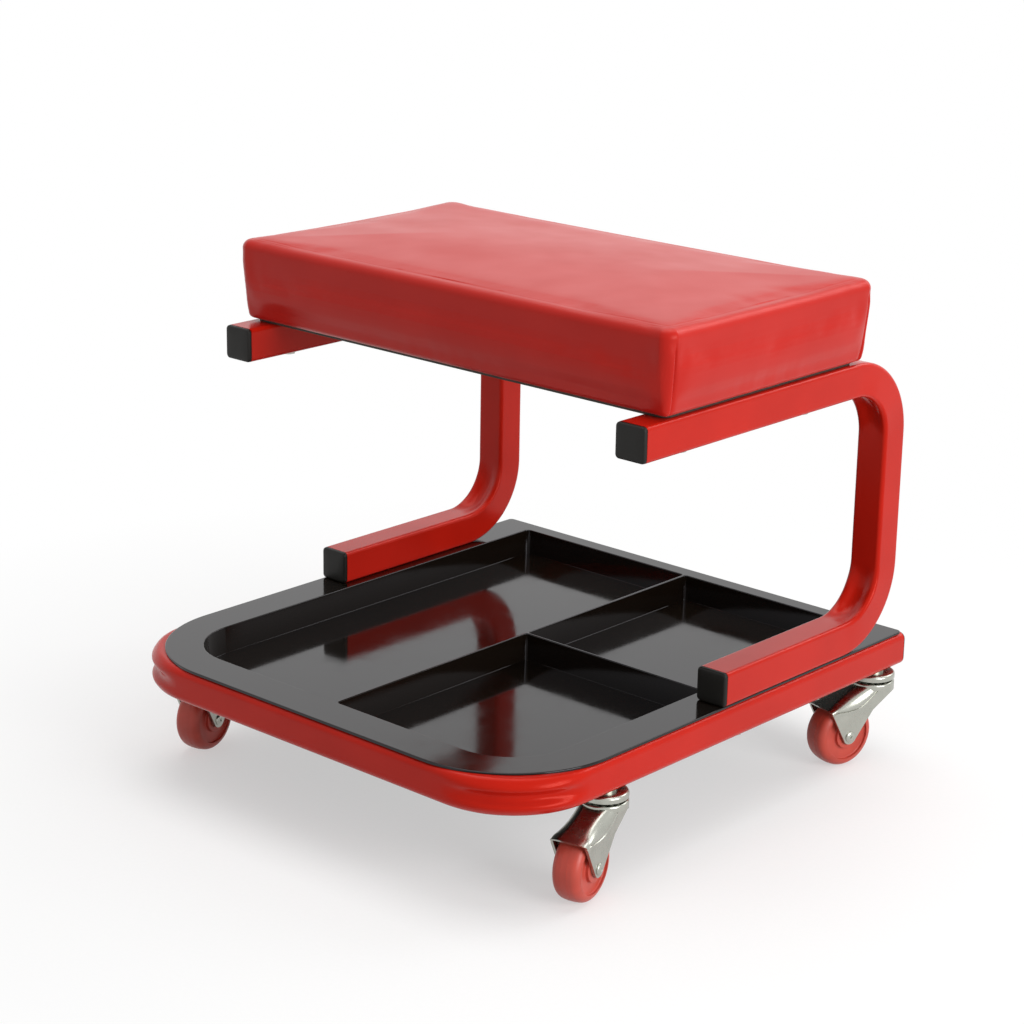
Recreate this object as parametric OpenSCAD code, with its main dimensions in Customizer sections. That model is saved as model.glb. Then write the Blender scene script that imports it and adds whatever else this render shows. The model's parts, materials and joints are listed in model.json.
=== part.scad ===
// Creeper seat: a padded seat on two C-shaped tube frames, a U-shaped base
// frame with a tool tray in it, and four swivel casters. Units are millimetres.
// +X is the right side, -Y is the open front, +Z is up. The origin is on the
// floor, under the centre of the whole part.

/* [Square tube] */
// Outside size of the square steel tube
tube = 25; // [22:1:30]
// Wall of the tubes
tube_wall = 1.5; // [1:0.1:2]
// Outside corner radius of the tube's section
tube_corner = 3; // [2.4:0.1:4]
// Depth of the crease that bending leaves in the tube wall
dent_depth = 2.6; // [1:0.1:3.5]

/* [Base frame] */
// Width of the base over its side rails
base_w = 400; // [340:5:480]
// Depth of the base from the front bar to the rail plugs
base_d = 435; // [400:5:520]
// Outside radius of the two front bends
base_bend = 70; // [60:1:90]
// Depth of the rear cross bar
rear_bar = 10; // [8:0.5:12]

/* [Side frames] */
// Height of each C frame over its two arms
frame_h = 220; // [190:5:280]
// Length of the upper arm with its cap, from the back of the post
upper_reach = 302; // [250:2:330]
// Length of the lower arm with its cap, from the back of the post
lower_reach = 205; // [170:1:240]
// Outside radius of the two rear bends
frame_bend = 61; // [50:1:70]
// Distance from the back of the post to the rear end of the rail
post_inset = 17; // [12:1:30]

/* [Tray] */
// Wall of the moulded tray
tray_wall = 2; // [1.6:0.1:3]
// Depth of the bays below the flange
tray_depth = 20.5; // [14:0.5:20.5]
// Width of the flange along the sides and the front
tray_flange = 31; // [29:0.5:40]
// Outside radius of the flange's two front corners
tray_corner = 86; // [74:1:100]
// Radius of the bays' two front corners
bay_bend = 48; // [36:1:54]
// Width of the flange along the rear
tray_rear_flange = 13.5; // [12:0.5:18]
// Place of the cross divider, ahead of or behind the middle of the base
divider_y = 12; // [-60:2:60]

/* [Seat] */
// Width of the cushion
seat_w = 414; // [350:2:460]
// Depth of the cushion
seat_d = 234; // [190:2:260]
// Thickness of the cushion at its edges
seat_h = 58; // [40:1:80]
// Rise of the cushion's top from its edges to its middle
seat_crown = 4; // [1:0.5:10]
// Thickness of the seat board
board_t = 10; // [8:0.5:15]
// Distance from the front of the upper arms' caps to the cushion
seat_setback = 15; // [8:1:40]

/* [Casters] */
// Diameter of the wheels
wheel_d = 50; // [44:1:56]
// Width of the wheels
wheel_w = 21; // [16:0.5:24]
// Height of a caster from the floor to the frame
caster_h = 70; // [68:0.5:85]
// Distance of the axle from the swivel axis
trail = 30; // [24:1:34]
// Distance of the front casters from the front of the base
front_caster_set = 99; // [90:1:140]
// Distance of the rear casters from the rear end of the rails
rear_caster_set = 22; // [20:1:40]
// Sheet thickness of the forks and the races
fork_t = 2; // [1.5:0.1:2.5]

/* [Fits] */
// Radial clearance of a running fit
run_fit = 0.05; // [0.02:0.01:0.08]
// Clearance between pieces that only lie near each other
gap = 0.3; // [0.2:0.05:0.5]
// Clearance round a bolt in its hole
bolt_fit = 0.3; // [0.2:0.05:0.5]

/* [Hidden] */
$fn = 48;
// Overrun of every cut past the face that it opens
cut = 1;

// Rails and their levels
rail_x = base_w / 2 - tube / 2;
rail_low = caster_h;
rail_mid = rail_low + tube / 2;
rail_top = rail_low + tube;
base_front = -base_d / 2;
plug_head = 2;
rail_end = base_d / 2 - plug_head;
plug_head_share = 0.6;
plug_chamfer_share = 0.8;
plug_rib_shares = [0.25, 0.6];
front_mid = base_front + tube / 2;
base_bend_mid = base_bend - tube / 2;
base_crease_share = 0.42;
frame_crease_share = 0.36;
bore = tube - 2 * tube_wall;
bore_corner = tube_corner - tube_wall;

// Tray levels and outline
flange_inset = 1.5;
flange_top = rail_top + tray_wall;
tray_w = base_w - 2 * flange_inset;
tray_front = base_front + flange_inset;
tray_rear = rail_end - flange_inset;
tray_rear_corner = 4;
bay_half_w = tray_w / 2 - tray_flange;
bay_front = tray_front + tray_flange;
bay_rear = tray_rear - tray_rear_flange;
bay_corner = 4;
floor_top = flange_top - tray_depth;
divider_t = tray_wall;

// C frames
arm_low = flange_top;
arm_top = arm_low + frame_h;
post_back = rail_end - post_inset;
post_mid = post_back - tube / 2;
frame_bend_mid = frame_bend - tube / 2;
cap_head = 3.5;
cap_plug = 14;
cap_fit = 0.1;
upper_front = post_back - upper_reach + cap_head;
lower_front = post_back - lower_reach + cap_head;

// Seat levels
seat_front = post_back - upper_reach + seat_setback;
seat_mid_y = seat_front + seat_d / 2;
board_show = 3;
seat_low = arm_top + board_show;
seat_edge_r = 9;
seat_corner = 10;
seat_draw_in = 5.5;
seat_pull = 2.2;
cushion_foot = 1.2;
cover_t = 1.5;
board_inset = seat_draw_in + cushion_foot + cover_t;
board_corner = seat_corner - board_inset / 2;

// Bolts that hold the seat and the C frames
bolt_d = 6;
bolt_hole = bolt_d + 2 * bolt_fit;
bolt_head_af = 10;
bolt_head_h = 4;
nut_af = 10;
nut_h = 5;
washer_d = 14;
washer_t = 1.2;
tnut_d = 12;
tnut_flange_t = 1.4;
tnut_barrel_d = 8;
tnut_barrel_share = 0.6;
bolt_end = 2;
seat_bolt_shares = [0.17, 0.62];
frame_bolt_shares = [0.14, 0.6];
seat_bolt_y = [for (s = seat_bolt_shares) post_back - upper_reach * (1 - s)];
frame_bolt_y = [for (s = frame_bolt_shares) post_back - lower_reach * (1 - s)];

// Casters
wheel_r = wheel_d / 2;
stem_d = 10;
stem_flange_d = 18;
stem_flange_t = 1.5;
stem_nut_af = 16;
stem_nut_h = 8;
stem_rise = tube_wall + stem_nut_h + 2;
race_d = 34;
race_skirt = 4.4;
kingpin_d = 8;
kingpin_head_d = 18;
kingpin_head_t = 2.5;
ball_d = 4;
ball_count = 14;
ball_ring = 24;
race_top = caster_h - stem_flange_t;
race_under = race_top - fork_t;
disc_top = race_under - ball_d - gap;
disc_low = disc_top - fork_t;
wheel_gap = 1.5;
fork_in = wheel_w + 2 * wheel_gap;
fork_out = fork_in + 2 * fork_t;
axle_d = 6;
axle_hole = axle_d + 2 * run_fit;
axle_boss_r = 6;
axle_head_af = 10;
axle_head_h = 3.2;
axle_tail = 1.2;
sleeve_d = 10;
wheel_bore = sleeve_d + 2 * run_fit;
sleeve_end_gap = 0.1;
hub_d = 20;
hub_proud = 0.7;
face_recess = 2.2;
rim_t = 6.5;
tread_round = 4;
caster_names = ["front_left", "front_right", "rear_left", "rear_right"];
caster_turns = [12, 12, -12, -15];
front_caster_y = base_front + front_caster_set;
rear_caster_y = rail_end - rear_caster_set;
caster_places = [
    [-rail_x, front_caster_y], [rail_x, front_caster_y],
    [-rail_x, rear_caster_y], [rail_x, rear_caster_y]
];

// Rounded rectangle, centred on the origin
module rounded_rect(w, h, r) {
    square([w - 2 * r, h], center = true);
    square([w, h - 2 * r], center = true);
    for (x = [-1, 1], y = [-1, 1])
        translate([x * (w / 2 - r), y * (h / 2 - r)]) circle(r);
}

// Plate with its own corner radius at the front and at the rear
module plate_outline(w, front, rear, front_r, rear_r) {
    translate([-w / 2, front + front_r]) square([w, rear - rear_r - front - front_r]);
    translate([-w / 2 + front_r, front]) square([w - 2 * front_r, front_r]);
    translate([-w / 2 + rear_r, rear - rear_r]) square([w - 2 * rear_r, rear_r]);
    for (x = [-1, 1]) {
        translate([x * (w / 2 - front_r), front + front_r]) circle(front_r, $fn = 96);
        translate([x * (w / 2 - rear_r), rear - rear_r]) circle(rear_r);
    }
}

// Straight run towards +Y of a section that is drawn in X and Z
module run_y(length) {
    rotate([-90, 0, 0]) linear_extrude(length) children();
}

// Straight run towards +X of a section that is drawn in Y and Z
module run_x(length) {
    rotate([90, 0, 90]) linear_extrude(length) children();
}

// Quarter bend in the XY plane, from +X to +Y round the origin
module bend(mid_r, size, corner) {
    rotate_extrude(angle = 90, $fn = 96) translate([mid_r, 0]) rounded_rect(size, size, corner);
}

// Ring that presses the crease into the outside of a bend, for a bend that
// starts at +X. It is off centre, so that the crease fades out at both ends.
module outer_crease(outer_r, roll_r, depth, grow) {
    shift = depth / (1 - cos(45));
    reach = atan2(outer_r * sin(45), outer_r * cos(45) + shift);
    rotate([0, 0, 45]) translate([-shift, 0, 0]) rotate([0, 0, -reach])
        rotate_extrude(angle = 2 * reach, $fn = 96)
            translate([outer_r + shift * cos(45) + roll_r, 0]) circle(roll_r + grow);
}

// Ring that presses the crease into the inside of a bend
module inner_crease(inner_r, roll_r, depth, grow) {
    shift = depth / (1 - cos(45));
    reach = atan2(inner_r * sin(45), inner_r * cos(45) - shift);
    rotate([0, 0, 45]) translate([shift, 0, 0]) rotate([0, 0, -reach])
        rotate_extrude(angle = 2 * reach, $fn = 96)
            translate([inner_r - shift * cos(45) - roll_r, 0]) circle(roll_r + grow);
}

// Hexagon across its flats
module hexagon(af) {
    circle(d = af / cos(30), $fn = 6);
}

// Base frame

// The U of the base as a solid bar of the given section
module base_bar(size, corner, over) {
    corner_y = front_mid + base_bend_mid;
    for (x = [-1, 1])
        translate([x * rail_x, corner_y, rail_mid])
            run_y(rail_end - corner_y + over) rounded_rect(size, size, corner);
    translate([-rail_x + base_bend_mid, front_mid, rail_mid])
        run_x(2 * (rail_x - base_bend_mid)) rounded_rect(size, size, corner);
    base_corners() bend(base_bend_mid, size, corner);
}

// Places a piece at the centre of each front bend, turned to it
module base_corners() {
    corner_y = front_mid + base_bend_mid;
    translate([rail_x - base_bend_mid, corner_y, rail_mid]) rotate([0, 0, -90]) children();
    translate([-rail_x + base_bend_mid, corner_y, rail_mid]) rotate([0, 0, 180]) children();
}

// Rear cross bar: a slim rectangular tube between the rails
module rear_cross_bar() {
    bar_len = 2 * rail_x - tube + 2 * tube_wall;
    translate([-bar_len / 2, tray_rear - rear_bar / 2, rail_mid]) difference() {
        run_x(bar_len) rounded_rect(rear_bar, tube, tube_corner);
        translate([2 * tube_wall, 0, 0]) run_x(bar_len - 4 * tube_wall)
            rounded_rect(rear_bar - 2 * tube_wall, bore, bore_corner);
    }
}

module frame_bolt_holes(low, high) {
    for (x = [-1, 1], y = frame_bolt_y)
        translate([x * rail_x, y, low]) cylinder(h = high - low, d = bolt_hole);
}

module base_frame() {
    roll_r = tube * base_crease_share;
    color("firebrick") difference() {
        union() {
            difference() {
                base_bar(tube, tube_corner, 0);
                base_corners() outer_crease(base_bend, roll_r, dent_depth, 0);
                difference() {
                    base_bar(bore, bore_corner, cut);
                    base_corners()
                        outer_crease(base_bend, roll_r, dent_depth, tube_wall);
                }
            }
            rear_cross_bar();
        }
        frame_bolt_holes(rail_low - cut, rail_top + cut);
        for (p = caster_places)
            translate([p.x, p.y, rail_low - cut])
                cylinder(h = tube_wall + 2 * cut, d = stem_d + 2 * bolt_fit);
    }
}

// Plastic plug in the rear end of a rail: a thin head with a hollow ribbed body
module rail_plug(side) {
    color("#26231f") translate([side * rail_x, rail_end, rail_mid]) end_plug(plug_head, cap_plug / 2);
}

// Plug that points to -Y, with its head behind the tube's end at the origin
module end_plug(head, depth) {
    body = bore - 2 * cap_fit;
    rib = tube_wall / 2;
    hollow = body - 4 * rib - 2 * tube_wall;
    face = tube - head * plug_chamfer_share;
    run_y(head * plug_head_share) rounded_rect(tube, tube, tube_corner);
    translate([0, head * plug_head_share, 0]) run_y(head * (1 - plug_head_share))
        rounded_rect(face, face, tube_corner);
    difference() {
        union() {
            translate([0, -depth, 0]) run_y(depth)
                rounded_rect(body - 2 * rib, body - 2 * rib, bore_corner);
            for (s = plug_rib_shares)
                translate([0, -depth * s - rib, 0]) run_y(rib)
                    rounded_rect(body, body, bore_corner);
        }
        translate([0, -depth - cut, 0]) run_y(depth + cut - tube_wall)
            rounded_rect(hollow, hollow, bore_corner);
    }
}

// Tray

module tray_outline(grow) {
    plate_outline(2 * (bay_half_w + grow), bay_front - grow, bay_rear + grow,
        bay_bend + grow, bay_corner + grow);
}

// The three bays: a long one at the left, two at the right
module bay_outlines() {
    left_w = bay_half_w - divider_t / 2;
    difference() {
        tray_outline(0);
        translate([-divider_t / 2, bay_front]) square([divider_t, bay_rear - bay_front]);
        translate([0, divider_y - divider_t / 2]) square([left_w + divider_t, divider_t]);
    }
}

module tray() {
    color("#1c1c1e") difference() {
        union() {
            translate([0, 0, rail_top]) linear_extrude(tray_wall)
                plate_outline(tray_w, tray_front, tray_rear, tray_corner, tray_rear_corner);
            translate([0, 0, floor_top - tray_wall]) linear_extrude(tray_depth + tray_wall)
                tray_outline(tray_wall);
        }
        translate([0, 0, floor_top]) linear_extrude(tray_depth + cut) bay_outlines();
        frame_bolt_holes(rail_top - cut, flange_top + cut);
    }
}

// C frames

// One C as a solid bar of the given section, with its arms towards -Y
module c_bar(size, corner, over) {
    bend_y = post_mid - frame_bend_mid;
    arm_mid_low = arm_low + tube / 2;
    arm_mid_top = arm_top - tube / 2;
    translate([0, upper_front - over, arm_mid_top])
        run_y(bend_y - upper_front + over) rounded_rect(size, size, corner);
    translate([0, lower_front - over, arm_mid_low])
        run_y(bend_y - lower_front + over) rounded_rect(size, size, corner);
    translate([0, post_mid, arm_mid_low + frame_bend_mid])
        linear_extrude(arm_mid_top - arm_mid_low - 2 * frame_bend_mid)
            rounded_rect(size, size, corner);
    c_bends() bend(frame_bend_mid, size, corner);
}

// Places a piece at the centre of each bend of a C, turned to it
module c_bends() {
    bend_y = post_mid - frame_bend_mid;
    translate([0, bend_y, arm_top - tube / 2 - frame_bend_mid]) rotate([90, 0, 90]) children();
    translate([0, bend_y, arm_low + tube / 2 + frame_bend_mid]) rotate([90, 0, 90])
        rotate([0, 0, -90]) children();
}

module side_frame(side) {
    roll_r = tube * frame_crease_share;
    inner_r = frame_bend - tube;
    color("firebrick") translate([side * rail_x, 0, 0]) difference() {
        c_bar(tube, tube_corner, 0);
        c_bends() inner_crease(inner_r, roll_r, dent_depth, 0);
        difference() {
            c_bar(bore, bore_corner, cut);
            c_bends() inner_crease(inner_r, roll_r, dent_depth, tube_wall);
        }
        for (y = seat_bolt_y)
            translate([0, y, arm_top - tube - cut]) cylinder(h = tube + 2 * cut, d = bolt_hole);
        for (y = frame_bolt_y)
            translate([0, y, arm_low - cut]) cylinder(h = tube_wall + 2 * cut, d = bolt_hole);
    }
}

// Black cap in the front end of an arm
module arm_cap(side, front, mid_z) {
    color("#26231f") translate([side * rail_x, front, mid_z]) rotate([0, 0, 180])
        end_plug(cap_head, cap_plug);
}

// Bolts, washers and nuts

// Hexagon bolt that points up from the underside of its head at z = 0
module hex_bolt(length, af, head) {
    translate([0, 0, -head]) linear_extrude(head) hexagon(af);
    cylinder(h = length, d = bolt_d);
}

module washer(d, hole, t) {
    difference() {
        cylinder(h = t, d = d);
        translate([0, 0, -cut]) cylinder(h = t + 2 * cut, d = hole);
    }
}

module hex_nut(af, hole, t) {
    difference() {
        linear_extrude(t) hexagon(af);
        translate([0, 0, -cut]) cylinder(h = t + 2 * cut, d = hole);
    }
}

module at_frame_bolts(z) {
    for (x = [-1, 1], y = frame_bolt_y) translate([x * rail_x, y, z]) children();
}

module at_seat_bolts(z) {
    for (x = [-1, 1], y = seat_bolt_y) translate([x * rail_x, y, z]) children();
}

frame_nut_z = arm_low + tube_wall;
frame_bolt_z = rail_low - washer_t;
seat_bolt_z = arm_top - tube - washer_t;
board_top = arm_top + board_t;

module frame_bolts() {
    length = frame_nut_z + nut_h + bolt_end - frame_bolt_z;
    color("silver") at_frame_bolts(frame_bolt_z) hex_bolt(length, bolt_head_af, bolt_head_h);
}

module frame_washers() {
    color("gainsboro") at_frame_bolts(frame_bolt_z) washer(washer_d, bolt_hole, washer_t);
}

module frame_nuts() {
    color("silver") at_frame_bolts(frame_nut_z) hex_nut(nut_af, bolt_d + 2 * run_fit, nut_h);
}

module seat_bolts() {
    length = board_top - tnut_flange_t - seat_bolt_z;
    color("silver") at_seat_bolts(seat_bolt_z) hex_bolt(length, bolt_head_af, bolt_head_h);
}

module seat_washers() {
    color("gainsboro") at_seat_bolts(seat_bolt_z) washer(washer_d, bolt_hole, washer_t);
}

// Tee nut: a flange on the board's upper face and a threaded barrel down in it
module seat_tee_nuts() {
    barrel = board_t * tnut_barrel_share;
    color("silver") at_seat_bolts(board_top - tnut_flange_t) difference() {
        union() {
            cylinder(h = tnut_flange_t, d = tnut_d);
            translate([0, 0, -barrel]) cylinder(h = barrel, d = tnut_barrel_d);
        }
        translate([0, 0, -barrel - cut])
            cylinder(h = board_t + 2 * cut, d = bolt_d + 2 * run_fit);
    }
}

// Seat

module seat_board() {
    color("#2a2622") difference() {
        translate([0, seat_mid_y, arm_top]) linear_extrude(board_t)
            rounded_rect(seat_w - 2 * board_inset, seat_d - 2 * board_inset, board_corner);
        at_seat_bolts(arm_top - cut) cylinder(h = board_t + 2 * cut, d = bolt_hole);
        at_seat_bolts(arm_top + board_t * (1 - tnut_barrel_share) - tnut_flange_t - run_fit)
            cylinder(h = board_t, d = tnut_barrel_d + 2 * run_fit);
        at_seat_bolts(board_top - tnut_flange_t - run_fit)
            cylinder(h = board_t, d = tnut_d + 2 * run_fit);
    }
}

// Point of the cushion's outline at one level. Each corner is an arc, each
// side has points between, and the sides pull in between the corners.
corner_steps = 5;
side_steps = 7;
pull_power = 6;
side_power = 1.5;
ring_count = 4 * (corner_steps + side_steps);

function corner_point(k, hw, hd, r) =
    let (q = floor(k / corner_steps), a = 90 * (q + (k % corner_steps) / (corner_steps - 1)),
        sx = (q == 0 || q == 3) ? 1 : -1, sy = q < 2 ? 1 : -1)
    [sx * (hw - r) + r * cos(a), sy * (hd - r) + r * sin(a)];

function outline_points(hw, hd, r) = [
    for (q = [0:3]) each concat(
        [for (j = [0:corner_steps - 1]) corner_point(q * corner_steps + j, hw, hd, r)],
        [for (j = [1:side_steps]) let (s = j / (side_steps + 1))
            corner_point(q * corner_steps + corner_steps - 1, hw, hd, r) * (1 - s)
            + corner_point(((q + 1) % 4) * corner_steps, hw, hd, r) * s])
];

function pulled(p, hw, hd, pull) = [
    p.x - sign(p.x) * pull * pow(abs(p.x) / hw, pull_power) * (1 - pow(p.y / hd, 2)),
    p.y - sign(p.y) * pull * pow(abs(p.y) / hd, pull_power) * (1 - pow(p.x / hw, 2))
];

function cushion_ring(inset, z, pull) =
    let (hw = seat_w / 2 - inset, hd = seat_d / 2 - inset,
        r = max(seat_corner - inset / 2, seat_corner / 3))
    [for (p = outline_points(hw, hd, r)) let (v = pulled(p, hw, hd, pull)) [v.x, v.y, z]];

// Side levels from the foot to the start of the top edge, as shares of the height
side_shares = [0, 0.14, 0.36, 0.6, 0.82];
edge_angles = [18, 40, 62, 82];
top_shares = [0.09, 0.2, 0.36, 0.56, 0.78];

function side_inset(s) = seat_draw_in * pow(1 - s, side_power);

cushion_rings = concat(
    [cushion_ring(seat_draw_in + cushion_foot, seat_low, 0)],
    [for (s = side_shares)
        cushion_ring(side_inset(s), seat_low + cushion_foot + s * (seat_h - seat_edge_r - cushion_foot),
            seat_pull * s)],
    [for (a = edge_angles)
        cushion_ring(seat_edge_r * (1 - cos(a)),
            seat_low + seat_h - seat_edge_r * (1 - sin(a)), seat_pull * cos(a))],
    [for (s = top_shares)
        cushion_ring(seat_edge_r + (seat_d / 2 - seat_edge_r) * s,
            seat_low + seat_h + seat_crown * sin(90 * s), 0)]
);

module cushion_form() {
    n = len(cushion_rings);
    points = concat([for (ring = cushion_rings) each ring],
        [[0, 0, seat_low], [0, 0, seat_low + seat_h + seat_crown]]);
    low_mid = n * ring_count;
    high_mid = low_mid + 1;
    faces = concat(
        [for (i = [0:n - 2], k = [0:ring_count - 1]) let (m = (k + 1) % ring_count)
            each [[i * ring_count + k, (i + 1) * ring_count + k, i * ring_count + m],
                [i * ring_count + m, (i + 1) * ring_count + k, (i + 1) * ring_count + m]]],
        [for (k = [0:ring_count - 1]) [k, (k + 1) % ring_count, low_mid]],
        [for (k = [0:ring_count - 1])
            [(n - 1) * ring_count + (k + 1) % ring_count, (n - 1) * ring_count + k, high_mid]]
    );
    translate([0, seat_mid_y, 0]) polyhedron(points = points, faces = faces, convexity = 4);
}

// Cushion: vinyl over foam, with a pocket in its underside that the board fills
module seat_cushion() {
    pocket_gap = gap / 3;
    color("#b03038") difference() {
        cushion_form();
        translate([0, seat_mid_y, seat_low - cut]) linear_extrude(board_t - board_show + cut)
            rounded_rect(seat_w - 2 * board_inset + 2 * pocket_gap,
                seat_d - 2 * board_inset + 2 * pocket_gap, board_corner + pocket_gap);
    }
}

// Casters

module at_caster(i, turned) {
    p = caster_places[i];
    translate([p.x, p.y, 0]) rotate([0, 0, turned ? caster_turns[i] : 0]) children();
}

module stem_nuts() {
    color("silver") for (p = caster_places)
        translate([p.x, p.y, rail_low + tube_wall])
            hex_nut(stem_nut_af, stem_d + 2 * run_fit, stem_nut_h);
}

// Stem with its flange, and the kingpin and its riveted head below it
module stem(i) {
    head_low = disc_low - gap - kingpin_head_t;
    color("silver") at_caster(i, false) union() {
        translate([0, 0, caster_h]) cylinder(h = stem_rise, d = stem_d);
        translate([0, 0, race_top]) cylinder(h = stem_flange_t, d = stem_flange_d);
        translate([0, 0, head_low]) cylinder(h = race_top - head_low, d = kingpin_d);
        translate([0, 0, head_low]) cylinder(h = kingpin_head_t, d = kingpin_head_d);
    }
}

// Upper race: a pressed cup over the balls
module race(i) {
    skirt_low = race_under - race_skirt + fork_t;
    color("gainsboro") at_caster(i, false) difference() {
        rotate_extrude() difference() {
            union() {
                translate([0, skirt_low]) square([race_d / 2, race_top - skirt_low - fork_t]);
                translate([0, race_under]) square([race_d / 2 - fork_t, fork_t]);
                translate([race_d / 2 - fork_t, race_under]) circle(fork_t);
            }
            translate([0, skirt_low - cut]) square([race_d / 2 - fork_t, race_under - skirt_low + cut]);
            translate([-fork_t - cut, skirt_low - cut]) square([fork_t + cut, race_d]);
        }
        translate([0, 0, skirt_low - cut])
            cylinder(h = race_d, d = kingpin_d + 2 * run_fit);
    }
}

module balls(i) {
    color("silver") at_caster(i, false) for (k = [0:ball_count - 1])
        rotate([0, 0, k * 360 / ball_count])
            translate([ball_ring / 2, 0, race_under - ball_d / 2]) sphere(d = ball_d);
}

// The fork is one pressing. Its hood runs down from the race at a tangent to
// the clearance circle of the wheel, and then follows that circle to its lip.
// In its outline u is the trail direction, with the axle at (trail, wheel_r).
hood_r = wheel_r + wheel_gap + fork_t;
hood_edge_r = 2 * fork_t;
hood_start_share = 0.3;
fork_back_share = 0.28;
kink_shares = [0.34, 0.48];
hood_start = race_d * hood_start_share;
hood_dist = norm([trail - hood_start, disc_top - wheel_r]);
hood_slope = atan2(disc_top - wheel_r, trail - hood_start) - asin(hood_r / hood_dist);
lip_angle = 50;
disc_rim = 2.6;
fork_back = race_d * fork_back_share;
kink_u = trail * kink_shares[0];
kink_z = disc_low - (disc_low - wheel_r) * kink_shares[1];

function round_axle(r, a) = [trail + r * cos(a), wheel_r + r * sin(a)];

module fork_side() {
    polygon(concat(
        [[-fork_back, disc_top], [-fork_back, disc_low - disc_rim], [kink_u, kink_z]],
        [for (a = [205:10:335]) round_axle(axle_boss_r, a)],
        [round_axle(hood_r, lip_angle), round_axle(2 * hood_r, lip_angle), [0, disc_top]]
    ));
}

// Frame on the axle, with x along the trail, y up and z across to the left
module axle_frame() {
    translate([0, -trail, wheel_r]) rotate([90, 0, -90]) children();
}

// Section of the hood in radius and width, with rounded outer edges
module hood_section(base, width, r, edge) {
    translate([base, -width / 2]) square([r - edge - base, width]);
    translate([base, -width / 2 + edge]) square([r - base, width - 2 * edge]);
    for (s = [-1, 1]) translate([r - edge, s * (width / 2 - edge)]) circle(edge);
}

// Everything under a hood of the given width and radius
module hood_form(width, r, edge) {
    axle_frame() {
        rotate([0, 0, -90]) rotate_extrude(angle = 180 - hood_slope, $fn = 96)
            hood_section(0, width, r, edge);
        rotate([0, 0, 90 - hood_slope]) run_y(trail + race_d) hood_section(-r, width, r, edge);
    }
}

module fork_sides_and_hood() {
    block = 4 * race_d;
    difference() {
        intersection() {
            translate([fork_out / 2, 0, 0]) rotate([90, 0, -90]) linear_extrude(fork_out) fork_side();
            hood_form(fork_out, hood_r, hood_edge_r);
            translate([-block / 2, -block / 2, disc_top - block]) cube(block);
        }
        intersection() {
            hood_form(fork_in, hood_r - fork_t, hood_edge_r - fork_t);
            translate([-block / 2, -block / 2, disc_low - block]) cube(block);
        }
    }
}

module fork(i) {
    color("gainsboro") at_caster(i, true) difference() {
        union() {
            translate([0, 0, disc_low]) cylinder(h = fork_t, d = race_d);
            translate([0, 0, disc_low - disc_rim])
                washer(race_d, race_d - 2 * fork_t, disc_rim + fork_t / 2);
            fork_sides_and_hood();
        }
        translate([0, 0, disc_low - cut]) cylinder(h = fork_t + 2 * cut, d = kingpin_d + 2 * run_fit);
        translate([-fork_out, -trail, wheel_r]) rotate([0, 90, 0])
            cylinder(h = 2 * fork_out, d = axle_hole);
    }
}

// Turns the axle of a left caster round, so that every nut faces outwards
module outward(i) {
    if (caster_places[i].x < 0) mirror([1, 0, 0]) children();
    else children();
}

module axle(i) {
    half = fork_out / 2;
    color("silver") at_caster(i, true) outward(i) translate([0, -trail, wheel_r]) rotate([0, 90, 0]) {
        translate([0, 0, -half - axle_head_h]) linear_extrude(axle_head_h) hexagon(axle_head_af);
        translate([0, 0, -half]) cylinder(h = fork_out + axle_head_h + axle_tail, d = axle_d);
    }
}

module axle_nut(i) {
    color("silver") at_caster(i, true) outward(i) translate([fork_out / 2, -trail, wheel_r])
        rotate([0, 90, 0]) hex_nut(axle_head_af, axle_d + 2 * run_fit, axle_head_h);
}

module sleeve(i) {
    length = fork_in - 2 * sleeve_end_gap;
    color("silver") at_caster(i, true) translate([-length / 2, -trail, wheel_r])
        rotate([0, 90, 0]) washer(sleeve_d, axle_d + 2 * run_fit, length);
}

// Wheel: crowned tread, recessed faces and a hub that stands a little proud
module wheel(i) {
    half = wheel_w / 2;
    color("#c8503c") at_caster(i, true) translate([0, -trail, wheel_r]) rotate([0, 90, 0])
        rotate_extrude($fn = 96) difference() {
            union() {
                translate([0, -half]) square([wheel_r - tread_round, wheel_w]);
                translate([0, -half + tread_round])
                    square([wheel_r, wheel_w - 2 * tread_round]);
                for (s = [-1, 1]) translate([wheel_r - tread_round, s * (half - tread_round)])
                    circle(tread_round);
                translate([0, -half - hub_proud]) square([hub_d / 2, wheel_w + 2 * hub_proud]);
            }
            for (s = [-1, 1]) translate([(hub_d / 2 + wheel_r - rim_t) / 2, s * half])
                square([wheel_r - rim_t - hub_d / 2, 2 * face_recess], center = true);
            translate([-wheel_r, -wheel_w]) square([wheel_r + wheel_bore / 2, 2 * wheel_w]);
        }
}

base_frame();
rail_plug(-1);  // left_rail_plug
rail_plug(1);  // right_rail_plug
tray();
side_frame(-1);  // left_side_frame
side_frame(1);  // right_side_frame
arm_cap(-1, upper_front, arm_top - tube / 2);  // left_upper_cap
arm_cap(1, upper_front, arm_top - tube / 2);  // right_upper_cap
arm_cap(-1, lower_front, arm_low + tube / 2);  // left_lower_cap
arm_cap(1, lower_front, arm_low + tube / 2);  // right_lower_cap
frame_bolts();
frame_washers();
frame_nuts();
seat_board();
seat_cushion();
seat_bolts();
seat_washers();
seat_tee_nuts();
stem_nuts();
for (i = [0:3]) {
    stem(i);
    race(i);
    balls(i);
    fork(i);
    axle(i);
    axle_nut(i);
    sleeve(i);
    wheel(i);
}
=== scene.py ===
"""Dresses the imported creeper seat: enamelled tubes, moulded tray, vinyl cushion and casters."""
import json
import math

import bmesh
import bpy
import numpy as np
from mathutils import Matrix, Vector
from mathutils.kdtree import KDTree


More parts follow.
